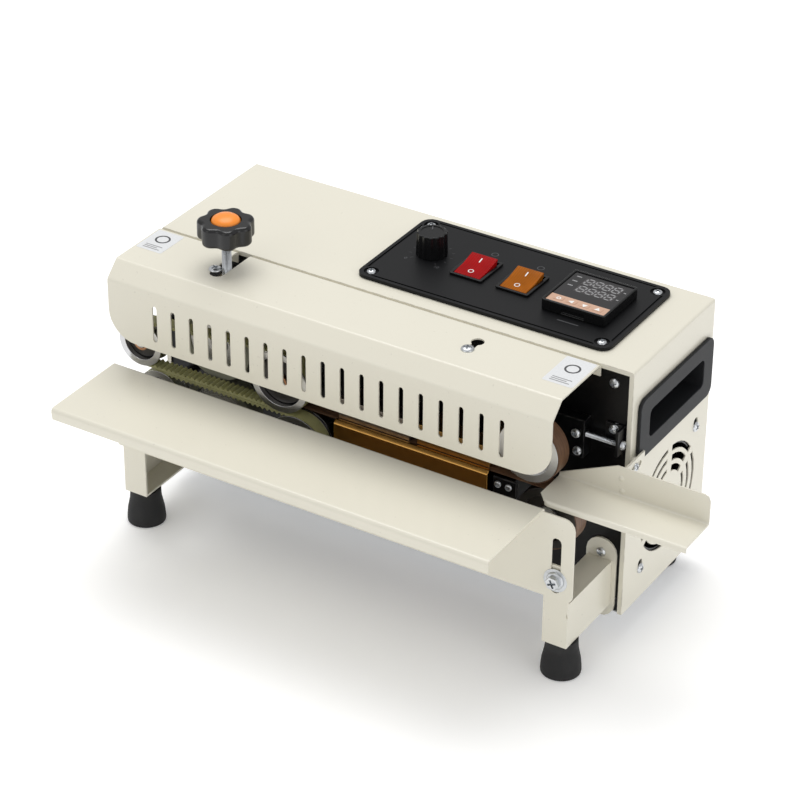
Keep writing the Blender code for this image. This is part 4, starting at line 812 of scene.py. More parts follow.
# ---------------------------------------------------------------- control panel
@dataclass
class Panel:
    """Moulded control plate with a groove near its edge, screw pockets and faint printed marks."""

    corner: float = 0.008
    rim: float = 0.0026
    groove: float = 0.0014
    depth: float = 0.0011
    pocket_r: float = 0.0052
    inset: float = 0.0084

    def build(self) -> None:
        """Builds and dresses the plate."""
        lo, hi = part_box("control_panel")
        top = hi.z
        plate = Shape.of_node("control_panel")
        cut = Shape()
        r = self.corner - self.rim
        ring = Shape().prism(Axis.Z, box_line(lo.x + self.rim, lo.y + self.rim, hi.x - self.rim, hi.y - self.rim, r),
                             top - self.depth, top + 0.001)
        g = self.rim + self.groove
        ring.carve(Shape().prism(Axis.Z, box_line(lo.x + g, lo.y + g, hi.x - g, hi.y - g, r - self.groove),
                                 top - self.depth - 0.001, top + 0.002))
        spots = [(x, y) for x in (lo.x + self.inset, hi.x - self.inset) for y in (lo.y + self.inset, hi.y - self.inset)]
        pads = Shape()
        for x, y in spots:
            bmesh.ops.create_cone(pads.bm, cap_ends=True, segments=32, radius1=self.pocket_r + 0.0013,
                                  radius2=self.pocket_r + 0.0013, depth=0.01, matrix=Matrix.Translation((x, y, top)))
            bmesh.ops.create_cone(cut.bm, cap_ends=True, segments=32, radius1=self.pocket_r,
                                  radius2=self.pocket_r, depth=0.004,
                                  matrix=Matrix.Translation((x, y, top - self.depth - 0.0005 + 0.002)))
        ring.carve(pads)
        plate.carve(ring).carve(cut).ease(0.00035, 2, 50.0).piece("panel_plate", PANEL, "cabinet", ["control_panel"])
        seat = top - self.depth - 0.0005
        Screw(0.0035, 0.0024).at([(x, y, seat) for x, y in spots], (0, 0, 1)).piece("panel_screws", ZINC, "cabinet")
        self.marks(lo, hi, top)

    def marks(self, lo: Vector, hi: Vector, top: float) -> None:
        """Prints faint generic marks: a dial scale, two plain symbols and short bars."""
        dial = middle("speed_knob")
        ink = Shape()
        for i in range(11):
            a = math.radians(230 - 28 * i)
            x, y = dial.x + 0.0150 * math.cos(a), dial.y + 0.0150 * math.sin(a)
            tick = Shape().block((-0.0010 - 0.0004 * (i % 5 == 0), -0.00015, 0), (0.0010, 0.00015, 0.00005))
            ink.add(tick, Matrix.Translation((x, y, top)) @ Matrix.Rotation(a, 4, "Z"))
            if i % 5 == 0:
                ink.add(lettering(str(i), 0.0030, (dial.x + 0.0192 * math.cos(a), dial.y + 0.0192 * math.sin(a), top)))
        for node in ("red_switch_frame", "amber_switch_frame"):
            c, edge = middle(node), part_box(node)[1].y
            ink.lathe(Axis.Z, [(0.0021, top), (0.0026, top), (0.0026, top + 0.00005), (0.0021, top + 0.00005)],
                      (c.x, edge + 0.0100), 24)
            ink.block((c.x - 0.0045, edge + 0.0042, top), (c.x + 0.0045, edge + 0.0050, top + 0.00005))
        c, edge = middle("temperature_controller"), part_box("temperature_controller")[0].y
        ink.block((c.x - 0.008, edge - 0.0066, top), (c.x + 0.008, edge - 0.0057, top + 0.00005))
        ink.piece("panel_marks", GREY_INK, "cabinet")


@dataclass
class Dial:
    """Fluted speed knob with a pointer line."""

    flutes: int = 14
    dip: float = 0.085
    r_base: float = 0.0112
    r_top: float = 0.0107

    def build(self) -> None:
        """Builds and dresses the knob."""
        lo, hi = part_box("speed_knob")
        c = middle("speed_knob")
        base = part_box("control_panel")[1].z + 0.0003
        tall = hi.z - base
        body = Shape()
        bmesh.ops.create_cone(body.bm, cap_ends=True, segments=self.flutes * 8, radius1=self.r_base,
                              radius2=self.r_top, depth=tall, matrix=Matrix.Translation((0, 0, tall / 2)))
        for v in body.bm.verts:
            turn = math.atan2(v.co.y, v.co.x) / (2 * math.pi) * self.flutes
            sunk = 1.0 - self.dip * (0.5 + 0.5 * math.cos(2 * math.pi * turn)) ** 0.7
            v.co.x, v.co.y = v.co.x * sunk, v.co.y * sunk
        body.ease(0.0007, 3, 60.0, lambda e: all(abs(v.co.z - tall) < 1e-6 for v in e.verts))
        dish = Shape().lathe(Axis.Z, [(0, tall - 0.0004), (0.0078, tall - 0.0004), (0.0081, tall + 0.001),
                                      (0, tall + 0.001)], (0, 0), 48)
        body.carve(dish)
        place = Matrix.Translation((c.x, c.y, base))
        Shape().add(body, place).piece("speed_knob_body", GLOSSY, "speed_knob", ["speed_knob"])
        line = Shape().block((-0.0004, 0.0030, tall - 0.0004), (0.0004, 0.0076, tall - 0.0002))
        Shape().add(line, place @ Matrix.Rotation(math.radians(28), 4, "Z")).piece(
            "speed_pointer", GREY_INK, "speed_knob")


@dataclass
class Rocker:
    """Rocker switch with its bezel, tinted rocker and printed I and O."""

    name: str
    lens: Finish
    tilt: float = math.radians(9)

    def build(self) -> None:
        """Builds and dresses the switch."""
        frame_node, rocker = self.name + "_switch_frame", self.name + "_rocker"
        Shape.of_node(frame_node).ease(0.0004, 3, 50.0).piece(self.name + "_bezel", GLOSSY, "cabinet", [frame_node])
        Shape.of_node(rocker).ease(0.0005, 3, 25.0).piece(self.name + "_lens", self.lens, rocker, [rocker])
        bar = Shape().block((-0.00045, -0.0022, 0), (0.00045, 0.0022, 0.00006))
        self.stick(bar, 0.52).piece(self.name + "_on_mark", WHITE_INK, rocker)
        ring = Shape().lathe(Axis.Z, [(0.0015, 0), (0.0021, 0), (0.0021, 0.00006), (0.0015, 0.00006)], (0, 0), 28)
        self.stick(ring, -0.52).piece(self.name + "_off_mark", WHITE_INK, rocker)

    def stick(self, mark: Shape, share: float) -> Shape:
        """Lays a mark on the rocker's face.

        Args:
            mark: the mark, lying on the XY plane.
            share: where it goes along the face, from -1 at the front to 1 at the back.

        Returns:
            The placed mark.
        """
        lo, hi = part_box(self.name + "_rocker")
        x, y = (lo.x + hi.x) / 2, (lo.y + hi.y) / 2 + share * (hi.y - lo.y) / 2
        solid = Shape.of_node(self.name + "_rocker")
        spot, normal, _, _ = BVHTree.FromBMesh(solid.bm).ray_cast((x, y, hi.z + 0.01), (0, 0, -1))
        place = Matrix.Translation(spot + normal * 0.00002) @ Matrix.Rotation(
            math.atan2(-normal.y, normal.z), 4, "X")
        return Shape().add(mark, place)


KEY_NODES = ("key_set", "key_shift", "key_down", "key_up")


@dataclass
class Controller:
    """Panel instrument: bezel, dark window with two rows of unlit digits, lamps and a film with four keys."""

    wall: float = 0.0017
    sink: float = 0.0009
    digit_w: float = 0.0049
    digit_h: float = 0.0077
    stroke: float = 0.0010
    play: float = 0.00010

    def build(self) -> None:
        """Builds and dresses the instrument."""
        node = "temperature_controller"
        lo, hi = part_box(node)
        c, half = middle(node), 0.024
        base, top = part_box("control_panel")[1].z + 0.0003, hi.z
        front = c.y - half
        case = Shape().prism(Axis.Z, box_line(c.x - half, front, c.x + half, c.y + half, 0.0016), base, top)
        w = half - self.wall
        case.carve(Shape().prism(Axis.Z, box_line(c.x - w, c.y - w, c.x + w, c.y + w, 0.0008),
                                 top - self.sink - 0.0012, top + 0.01))
        notch = Shape().block((c.x - 0.0085, front - 0.001, base + 0.0012), (c.x + 0.0085, front + 0.0014, base + 0.0046))
        case.carve(notch).ease(0.0005, 3, 50.0).piece("controller_case", GLOSSY, "cabinet", [node])
        face = top - self.sink
        key_y0, key_y1 = middle("key_set").y - 0.0047, middle("key_set").y + 0.0047
        Shape().block((c.x - w + 0.0002, key_y1, face - 0.0005), (c.x + w - 0.0002, c.y + w - 0.0002, face)).ease(
            0.0002).piece("controller_window", GLASS, "cabinet")
        strip, openings = Shape(), Shape()
        strip.block((c.x - w + 0.0002, key_y0, face - 0.0005), (c.x + w - 0.0002, key_y1 - 0.0001, face))
        for key in KEY_NODES:
            k0, k1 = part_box(key)
            openings.prism(Axis.Z, box_line(k0.x - self.play, k0.y - self.play, k1.x + self.play, k1.y + self.play,
                                            0.0009), face - 0.001, face + 0.001)
        strip.carve(openings).piece("key_film_strip", KEYS, "cabinet")
        Shape().block((c.x - w + 0.0002, c.y - w + 0.0002, face - 0.0005), (c.x + w - 0.0002, key_y0 - 0.0001, face)
                      ).ease(0.0001).piece("blue_film_strip", BLUE, "cabinet")
        digits = Shape()
        for row in (0, 1):
            for column in range(4):
                self.digit(digits, c.x - 0.0078 + 0.0071 * column, c.y + 0.0135 - 0.0108 * row, face)
        digits.piece("controller_digits", SEGMENT, "cabinet")
        rows = Shape()
        for row in (0, 1):
            y = c.y + 0.0135 - 0.0108 * row
            rows.block((c.x - 0.0120, y - 0.0049, face - 0.0002), (c.x + 0.0176, y + 0.0049, face + 0.00002))
        rows.piece("controller_rows", ROWS, "cabinet")
        lamps = Shape()
        for i in range(3):
            y = c.y + 0.0165 - 0.0066 * i
            lamps.block((c.x - 0.0190, y, face), (c.x - 0.0152, y + 0.0011, face + 0.00005))
        for y in (c.y + 0.0125, c.y + 0.0015):
            lamps.block((c.x + 0.0188, y, face), (c.x + 0.0206, y + 0.0010, face + 0.00005))
        lamps.piece("controller_lamps", SEGMENT, "cabinet")
        for key in KEY_NODES:
            self.key(key, face)

    def digit(self, shape: Shape, x: float, y: float, z: float) -> None:
        """Adds one seven-segment figure with its middle at (x, y)."""
        w, h, s = self.digit_w / 2, self.digit_h / 2, self.stroke
        lean = Matrix(((1, math.tan(math.radians(7)), 0, x), (0, 1, 0, y), (0, 0, 1, z), (0, 0, 0, 1)))
        figure = Shape()
        for level in (-h, 0, h):
            figure.block((-w + s * 0.75, level - s / 2, 0), (w - s * 0.75, level + s / 2, 0.00005))
        for side in (-w, w):
            for low, high in ((-h, 0), (0, h)):
                figure.block((side - s / 2, low + s * 0.6, 0), (side + s / 2, high - s * 0.6, 0.00005))
        shape.add(figure, lean)

    def key(self, node: str, face: float) -> None:
        """Builds one key: a pad in the film with its white sign."""
        lo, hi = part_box(node)
        c = middle(node)
        pad = Shape().prism(Axis.Z, box_line(lo.x, lo.y, hi.x, hi.y, 0.0008), face - 0.0004, face + 0.00022)
        pad.ease(0.0002, 2).piece(node + "_pad", KEYS, node, [node])
        sign = Shape()
        z0, z1 = face + 0.00022, face + 0.00028
        if node == "key_set":
            sign.lathe(Axis.Z, [(0.0010, z0), (0.0017, z0), (0.0017, z1), (0.0010, z1)], (c.x, c.y), 20)
        else:
            aim = {"key_shift": 180, "key_down": 270, "key_up": 90}[node]
            sign.prism(Axis.Z, bow(c.x, c.y, 0.0024, aim, aim + 360, 3)[:-1], z0, z1)
        sign.piece(node + "_sign", WHITE_INK, node)


@dataclass
class PressureKnob:
    """Seven-lobed knob on a threaded stud, with a domed cap."""

    lobes: int = 7
    steps: int = 14
    r: float = 0.020
    dip: float = 0.0022
    cap_r: float = 0.0102

    def build(self) -> None:
        """Builds and dresses the knob."""
        lo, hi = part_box("pressure_knob")
        c = middle("knob_cap")
        top = hi.z
        cap_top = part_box("knob_cap")[1].z
        low = top - 0.015
        body = Shape()
        count = self.lobes * self.steps
        bmesh.ops.create_cone(body.bm, cap_ends=True, segments=count, radius1=self.r, radius2=self.r,
                              depth=top - low, matrix=Matrix.Translation((c.x, c.y, (top + low) / 2)))
        for v in body.bm.verts:
            a = math.atan2(v.co.y - c.y, v.co.x - c.x)
            sunk = 1.0 - self.dip * (1 - math.cos(self.lobes * a)) ** 1.4 / 2 / self.r
            v.co.x, v.co.y = c.x + (v.co.x - c.x) * sunk, c.y + (v.co.y - c.y) * sunk
        body.ease(0.0028, 5, 60.0)
        seat = Shape().lathe(Axis.Z, rounded_line([(0, top - 0.004), (self.cap_r + 0.0004, top - 0.004),
                                                   (self.cap_r + 0.0008, top + 0.001), (0, top + 0.001)], 0.0004),
                             (c.x, c.y), 48)
        body.carve(seat)
        hub = rounded_line([(0, low + 0.002), (0.0125, low + 0.002), (0.0125, low - 0.001), (0.0085, lo.z + 0.0323),
                            (0, lo.z + 0.0323)], 0.0008)
        body.lathe(Axis.Z, hub, (c.x, c.y), 48)
        body.piece("lobed_grip", KNOB, "pressure_knob", ["pressure_knob"])
        Shape().lathe(Axis.Z, thread(0.0034, lo.z, lo.z + 0.034), (c.x, c.y), 32).piece(
            "pressure_stud", ZINC, "pressure_knob")
        dome = [(0, cap_top), (0.0040, cap_top - 0.0003), (0.0072, cap_top - 0.0012), (0.0092, cap_top - 0.0026),
                (self.cap_r, cap_top - 0.0044), (self.cap_r, top - 0.0038), (0, top - 0.0038)]
        Shape().lathe(Axis.Z, dome, (c.x, c.y), 56).piece("orange_dome", ORANGE, "pressure_knob", ["knob_cap"])


# ---------------------------------------------------------------- legs, feet and trays
@dataclass
class Supports:
    """Folded legs with their corner reliefs, rubber feet and the fixing screws."""

    relief: float = 0.0006

    def build(self) -> None:
        """Builds and dresses legs and feet."""
        for side in ("right", "left"):
            node = side + "_leg"
            lo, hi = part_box(node)
            cuts = Shape()
            edge = hi.x if side == "right" else hi.x
            low, high = lo.z + 0.0110, lo.z + 0.0357
            cuts.block((edge - 0.0042, lo.y - 0.002, high + 0.0002), (edge - 0.0004, lo.y + 0.0013, high + 0.0009))
            cuts.block((edge - 0.0042, lo.y - 0.002, high + 0.0002), (edge - 0.0036, lo.y + 0.0013, high + 0.0030))
            leg = Shape.of_node(node).carve(cuts).ease(0.0005, 3, 50.0)
            leg.piece(node + "_skin", CREAM, "cabinet", [node])
        spots = []
        for side in ("right", "left"):
            lo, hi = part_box(side + "_leg")
            x = (lo.x + hi.x) / 2 if side == "right" else lo.x + 0.0115
            spots += [(x, hi.y - 0.0015, z) for z in (0.0686, 0.0225)]
        Screw(0.0034, 0.0022).at(spots, (0, -1, 0)).piece("leg_screws", ZINC, "cabinet")
        for name in ("front_foot_right", "front_foot_left", "rear_foot_right", "rear_foot_left"):
            self.foot(name)

    def foot(self, node: str) -> None:
        """Turns one bell-shaped rubber foot."""
        lo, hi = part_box(node)
        c, r, h = (lo + hi) / 2, (hi.x - lo.x) / 2, hi.z - lo.z
        profile = [(0, 0.0014), (r * 0.55, 0.0014), (r * 0.60, 0), (r * 0.90, 0), (r * 0.985, 0.0008), (r, 0.0022),
                   (r * 0.990, 0.20 * h), (r * 0.955, 0.38 * h), (r * 0.890, 0.54 * h), (r * 0.832, 0.68 * h),
                   (r * 0.805, 0.82 * h), (r * 0.800, h - 0.0006), (r * 0.78, h), (0, h)]
        Shape().lathe(Axis.Z, profile, (c.x, c.y), 48).piece(node + "_rubber", FEET, "cabinet", [node])


@dataclass
class BagTray:
    """Front tray with its height slots, and the washer-faced bolts that clamp it."""

    def build(self) -> None:
        """Builds and dresses the tray."""
        Shape.of_node("front_tray").ease(0.0004, 2, 50.0).piece("tray_sheet", CREAM, "front_tray", ["front_tray"])
        for side in ("left", "right"):
            node = "tray_bolt_" + side
            c, face = middle(node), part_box("front_tray")[1].y
            plate = face - 0.0012 - 0.0003
            bolt = Screw(0.0052, 0.0050, 0.0088, Drive.HEXAGON).at([(c.x, plate - 0.0002, c.z)], (0, -1, 0))
            bolt.piece(node + "_head", ZINC, "cabinet", [node])


@dataclass
class Infeed:
    """Side tray that leads the bag edge in, its rivets and the slotted bracket with its screw."""

    rivets: tuple[tuple[float, float], ...] = ((0.1605, 0.1480), (0.1615, 0.1385))

    def build(self) -> None:
        """Builds and dresses the side tray."""
        Shape.of_node("infeed_tray").ease(0.0004, 2, 50.0).piece("infeed_sheet", CREAM, "cabinet", ["infeed_tray"])
        Shape.of_node("infeed_bracket").ease(0.0003, 2, 50.0).piece("infeed_angle", CREAM, "cabinet",
                                                                    ["infeed_bracket"])
        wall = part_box("infeed_tray")[1].y - 0.0012
        dome = [(0, 0.0008), (0.0011, 0.0006), (0.0018, 0.0003), (0.0022, 0), (0, 0)]
        one, group = Shape().lathe(Axis.Z, dome, (0, 0), 24), Shape()
        face = Vector((0, -1, 0)).to_track_quat("Z", "Y").to_matrix().to_4x4()
        for x, z in self.rivets:
            group.add(one, Matrix.Translation((x, wall, z)) @ face)
        group.piece("infeed_rivets", CREAM, "cabinet")
        lo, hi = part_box("infeed_bracket")
        Screw(0.0031, 0.0019).at([(hi.x - 0.0106, (lo.y + hi.y) / 2 + 0.004, hi.z - 0.0062)], (1, 0, 0)).piece(
            "infeed_screw", ZINC, "cabinet")


# ---------------------------------------------------------------- sealing head
def loop_line(c0: Vector, r0: float, c1: Vector, r1: float, steps: int) -> list[tuple[Vector, Vector, float]]:
    """Closed run round two wheels in the XZ plane.

    Args:
        c0: middle of the left wheel.
        r0: radius of the run there.
        c1: middle of the right wheel.
        r1: radius of the run there.
        steps: segments round each wheel.

    Returns:
        Points of the run with their outward directions and distances along.
    """
    across = Vector((c1.x - c0.x, c1.z - c0.z))
    base, lean = math.atan2(across.y, across.x), math.acos((r0 - r1) / across.length)
    out: list[tuple[Vector, Vector, float]] = []
    for c, r, start, end in ((c1, r1, base - lean, base + lean), (c0, r0, base + lean, base - lean + 2 * math.pi)):
        for i in range(steps + 1):
            a = start + (end - start) * i / steps
            way = Vector((math.cos(a), 0, math.sin(a)))
            spot = Vector((c.x, 0, c.z)) + way * r
            out.append((spot, way, out[-1][2] + (spot - out[-1][0]).length if out else 0.0))
    return out


@dataclass
class Band:
    """Flat sealing band round its two wheels."""

    name: str
    left: str
    right: str
    thick: float = 0.0005
    steps: int = 40

    def build(self) -> None:
        """Builds and dresses the band."""
        lo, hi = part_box(self.name)
        a, b = middle(self.left), middle(self.right)
        r = (hi.z - lo.z) / 2
        shape = Shape()
        layer = shape.bm.verts.layers.float["run"]
        rims: list[list[bmesh.types.BMVert]] = []
        for radius in (r, r - self.thick):
            for y in (lo.y, hi.y):
                ring = []
                for spot, _, run in loop_line(a, radius, b, radius, self.steps):
                    v = shape.bm.verts.new((spot.x, y, spot.z))
                    v[layer] = run
                    ring.append(v)
                rims.append(ring)
        for first, second in ((0, 1), (2, 3), (0, 2), (1, 3)):
            shape.strip(rims[first], rims[second])
        shape.piece(self.name + "_cloth", BAND, "cabinet", [self.name])


@dataclass
class GuideBelt:
    """Toothed guide belt, teeth inside."""

    name: str
    left: str
    right: str
    left_r: float
    right_r: float
    base: float = 0.0014
    tooth: float = 0.0015
    pitch: float = 0.0040

    def build(self) -> None:
        """Builds and dresses the belt."""
        lo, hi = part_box(self.name)
        a, b = middle(self.left), middle(self.right)
        outer = [p for p, _, _ in loop_line(a, self.left_r, b, self.right_r, 40)]
        root = loop_line(a, self.left_r - self.base, b, self.right_r - self.base, 60)
        length = root[-1][2] + (root[-1][0] - root[0][0]).length
        count = round(length / self.pitch)
        inner = []
        for i in range(count):
            for part, depth in ((0.10, 0.0), (0.42, 1.0), (0.58, 1.0), (0.90, 0.0)):
                spot, way = self.along(root, length, (i + part) * length / count)
                inner.append(spot - way * depth * self.tooth)
        shape = Shape()
        rims = [[shape.bm.verts.new((p.x, y, p.z)) for p in line] for y in (lo.y, hi.y) for line in (outer, inner)]
        for first, second in ((0, 2), (1, 3)):
            shape.strip(rims[first], rims[second])
        loops = [[shape.bm.edges.get((p, q)) for p, q in zip(ring, ring[1:] + ring[:1])] for ring in rims]
        for first, second in ((0, 1), (2, 3)):
            bmesh.ops.triangle_fill(shape.bm, edges=loops[first] + loops[second], use_beauty=True)
        shape.piece(self.name + "_cast", BELT, "cabinet", [self.name], 25.0)

    @staticmethod
    def along(line: list[tuple[Vector, Vector, float]], length: float, s: float) -> tuple[Vector, Vector]:
        """Point and outward direction at a distance along a closed run."""
        s %= length
        for (p, n, d0), (q, m, d1) in zip(line, line[1:] + [(line[0][0], line[0][1], length)]):
            if d0 <= s <= d1 and d1 > d0:
                return p.lerp(q, (s - d0) / (d1 - d0)), n.lerp(m, (s - d0) / (d1 - d0)).normalized()
        return line[0][0], line[0][1]


@dataclass
class BandWheel:
    """Band wheel with a dished web, ball bearing and shaft end."""

    node: str
    body: str
    face: Finish
    stands_for: tuple[str, ...]
    shaft_to: float
    rim: float = 0.0025
    web: float = 0.006
    hub: float = 0.0085

    def build(self) -> None:
        """Turns and dresses the wheel."""
        lo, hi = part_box(self.node)
        c = (lo + hi) / 2
        r = (hi.z - lo.z) / 2
        y0 = lo.y
        y1 = y0 + 0.014
        at = (c.x, c.z)
        m0, m1 = y0 + 0.004, y1 - 0.004
        rim = rounded_line([(r - self.rim, m0), (r - self.rim, y0), (r, y0), (r, y1), (r - self.rim, y1),
                            (r - self.rim, m1), (self.hub, m1), (self.hub, y1), (0.0043, y1), (0.0043, y0 + 0.0026),
                            (self.hub, y0 + 0.002), (self.hub, m0)], 0.0004)
        Shape().lathe(Axis.Y, rim, at, 72).piece(self.node + "_turned", self.face, self.body, self.stands_for)
        bearing = rounded_line([(0.0041, y0 + 0.0026), (0.0041, y0 + 0.0016), (0.0052, y0 + 0.0016),
                                (0.0054, y0 + 0.0020), (0.0066, y0 + 0.0020), (0.0068, y0 + 0.0016),
                                (0.0079, y0 + 0.0016), (0.0079, y0 + 0.0026)], 0.0001, 2)
        Shape().lathe(Axis.Y, bearing, at, 48).piece(self.node + "_bearing", CHROME, self.body)
        end = y0 + 0.0010
        shaft = rounded_line([(0, end), (0.0037, end), (0.0040, end + 0.0003), (0.0040, self.shaft_to),
                              (0, self.shaft_to)], 0.0001, 2)
        Shape().lathe(Axis.Y, shaft, at, 32).piece(self.node + "_shaft", CHROME, self.body)


@dataclass
class Pulley:
    """Flanged guide-belt pulley: bright ring, dark dished hub, bronze bush and bright shaft end."""

    node: str
    body: str
    belt_r: float
    ring: float = 0.0048

    def build(self) -> None:
        """Turns and dresses the pulley."""
        lo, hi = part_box(self.node)
        c = (lo + hi) / 2
        at, f0 = (c.x, c.z), lo.y
        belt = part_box("upper_guide_belt")
        f1, g0, g1 = belt[0].y - 0.0003, belt[1].y + 0.0003, belt[1].y + 0.0013
        rim, core = self.belt_r - 0.0002, self.belt_r - 0.0032
        inner = rim - self.ring
        rear = min(hi.y, g1)
        body = rounded_line([(inner, f1 + 0.003), (inner, f0), (rim, f0), (rim, f1), (core, f1), (core, g0), (rim, g0),
                             (rim, g1), (0.0044, g1), (0.0044, f1 + 0.0055), (inner - 0.001, f1 + 0.0055)], 0.0003)
        Shape().lathe(Axis.Y, body, at, 72).piece(self.node + "_ring", CHROME, self.body, [self.node])
        hub = rounded_line([(0.0063, f1 + 0.0054), (0.0063, f1 + 0.0018), (inner - 0.0008, f1 + 0.0030),
                            (inner - 0.0002, f1 + 0.0054)], 0.0004)
        Shape().lathe(Axis.Y, hub, at, 56).piece(self.node + "_hub", DULL, self.body)
        bush = rounded_line([(0.0042, f1 + 0.0054), (0.0042, f0 + 0.0006), (0.0060, f0 + 0.0006),
                             (0.0062, f1 + 0.0054)], 0.0003)
        Shape().lathe(Axis.Y, bush, at, 40).piece(self.node + "_bush", COPPER, self.body)
        end = f0 - 0.0001
        tip = rounded_line([(0, end), (0.0034, end), (0.0040, end + 0.0006), (0.0040, hi.y), (0, hi.y)], 0.0002, 2)
        Shape().lathe(Axis.Y, tip, at, 32).piece(self.node + "_tip", CHROME, self.body)


@dataclass
class PressRoller:
    """Rubber press roller on an alloy core."""

    node: str
    body: str

    def build(self) -> None:
        """Turns and dresses the roller."""
        lo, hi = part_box(self.node)
        c = (lo + hi) / 2
        r, at, y0 = (hi.z - lo.z) / 2, ((lo.x + hi.x) / 2, (lo.z + hi.z) / 2), lo.y
        y1 = y0 + 0.016
        tyre = rounded_line([(r - 0.006, y0), (r, y0), (r, y1), (r - 0.006, y1)], 0.0008)
        Shape().lathe(Axis.Y, tyre, at, 80).piece(self.node + "_tyre", ROLLER, self.body, [self.node])
        core = rounded_line([(0.0042, y0), (0.0075, y0), (0.0080, y0 + 0.0030), (r - 0.0090, y0 + 0.0030),
                             (r - 0.0084, y0 + 0.0004), (r - 0.0061, y0 + 0.0004), (r - 0.0061, y1 - 0.0004),
                             (0.0042, y1 - 0.0004)], 0.0005)
        Shape().lathe(Axis.Y, core, at, 64).piece(self.node + "_core", ALLOY, self.body)
        shaft = [(0, y0 + 0.0002), (0.0038, y0 + 0.0002), (0.0040, y0 + 0.0005), (0.0040, hi.y), (0, hi.y)]
        Shape().lathe(Axis.Y, shaft, at, 32).piece(self.node + "_axle", CHROME, self.body)


@dataclass
class SealingHead:
    """Bands, belts, wheels, heating and cooling blocks, guard and the black entry block."""

    entry: tuple[float, float, float, float, float, float] = (0.0745, 0.0925, -0.0330, -0.0310, 0.1165, 0.1305)

    def build(self) -> None:
        """Builds and dresses the head."""
        up, low = middle("upper_drive_wheel"), middle("lower_drive_wheel")
        nip = (up.z + low.z) / 2
        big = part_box("upper_drive_pulley")[1].z - up.z + 0.0002
        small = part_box("upper_left_pulley")[1].z - middle("upper_left_pulley").z + 0.0002
        Band("upper_band", "upper_drive_wheel", "upper_idler_wheel").build()
        Band("lower_band", "lower_drive_wheel", "lower_idler_wheel").build()
        GuideBelt("upper_guide_belt", "upper_left_pulley", "upper_drive_pulley", small, big).build()
        GuideBelt("lower_guide_belt", "lower_left_pulley", "lower_drive_pulley", small, big).build()
        for node, body, face in (("upper_drive_wheel", "upper_drive", ALLOY), ("lower_drive_wheel", "lower_drive", ALLOY),
                                 ("upper_idler_wheel", "upper_idler", NICKEL),
                                 ("lower_idler_wheel", "lower_idler", DULL)):
            BandWheel(node, body, face, (node,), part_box(node)[1].y, rim=0.0056).build()
        for node, body, r in (("upper_drive_pulley", "upper_drive", big), ("lower_drive_pulley", "lower_drive", big),
                              ("upper_left_pulley", "upper_left_pulley", small),
                              ("lower_left_pulley", "lower_left_pulley", small)):
            Pulley(node, body, r).build()
        PressRoller("upper_press_roller", "upper_press_roller").build()
        PressRoller("lower_press_roller", "lower_press_roller").build()
        for node, finish in (("upper_cooling_block", BLOCKS), ("lower_cooling_block", BLOCKS),
                             ("upper_heater_block", BRASS), ("lower_heater_block", BRASS)):
            Shape.of_node(node).ease(0.0005, 2, 50.0).piece(node + "_bar", finish, "cabinet", [node])
        Shape.of_node("heater_guard").ease(0.0011, 4, 50.0).piece("guard_sheet", BRONZE, "cabinet", ["heater_guard"])
        for node in ("upper_drive_gear", "lower_drive_gear"):
            Shape.of_node(node).piece(node + "_steel", MECH, node.replace("_gear", ""), [node])
        Shape.of_node("press_carriage").ease(0.0005, 2, 50.0).piece("carriage_block", BLOCKS, "press_carriage",
                                                                    ["press_carriage"])
        Shape.of_node("drive_motor").piece("gearmotor", MOTOR, "cabinet", ["drive_motor"])
        x0, x1, y0, y1, z0, z1 = self.entry
        Shape().block((x0, y0, z0), (x1, y1, z1)).ease(0.0006, 3).piece("entry_block", BLACK, "cabinet")
        Screw(0.0026, 0.0017).at([(x1 - 0.0058, y0, (z0 + z1) / 2 + 0.0018), (x0 + 0.0040, y0, (z0 + z1) / 2 + 0.0018)],
                                 (0, -1, 0)).piece("entry_screws", ZINC, "cabinet")
        LOG.info("nip height %.4f m", nip)


@dataclass
class Tension:
    """Sliding tension block with its screws, threaded rod and angle bracket."""

    spring_r: float = 0.0032
    wire: float = 0.0006
    turns: int = 9

    def build(self) -> None:
        """Builds and dresses the tensioner."""
        lo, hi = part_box("tension_block")
        Shape.of_node("tension_block").ease(0.0006, 3, 50.0).piece("slide_block", BLACK, "tension_block",
                                                                   ["tension_block"])
        c = (lo + hi) / 2
        Screw(0.0034, 0.0024).at([(hi.x - 0.0060, lo.y, hi.z - 0.0110), (hi.x - 0.0045, lo.y, lo.z + 0.0050)],
                                 (0, -1, 0)).piece("slide_screws", ZINC, "tension_block")
        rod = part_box("tension_rod")
        at = ((rod[0].y + rod[1].y) / 2, (rod[0].z + rod[1].z) / 2)
        Shape().lathe(Axis.X, thread(0.0019, rod[0].x, rod[1].x - 0.0030, 0.0007, 0.0003), at, 24).piece(
            "tension_thread", ZINC, "tension_rod", ["tension_rod"])
        Screw(0.0033, 0.0026).at([(rod[1].x - 0.0030, *at)], (1, 0, 0)).piece("tension_head", ZINC, "tension_rod")
        Shape.of_node("tension_bracket").ease(0.0003, 2, 50.0).piece("rod_bracket", BLACK, "cabinet",
                                                                     ["tension_bracket"])
        blo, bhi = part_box("tension_bracket")
        Screw(0.0034, 0.0022).at([(blo.x + 0.0060, bhi.y - 0.0015, bhi.z - 0.0040)], (0, -1, 0)).piece(
            "bracket_screw", ZINC, "cabinet")


@dataclass
class Fan:
    """Cooling fan behind the side grille."""

    def build(self) -> None:
        """Dresses the fan."""
        Shape.of_node("fan_frame").ease(0.0004, 2, 50.0).piece("fan_housing", GLOSSY, "cabinet", ["fan_frame"])
        Shape.of_node("fan_rotor").piece("fan_blades", DARK_PLASTIC_AND_POCKET_SHADE, "fan_rotor", ["fan_rotor"])


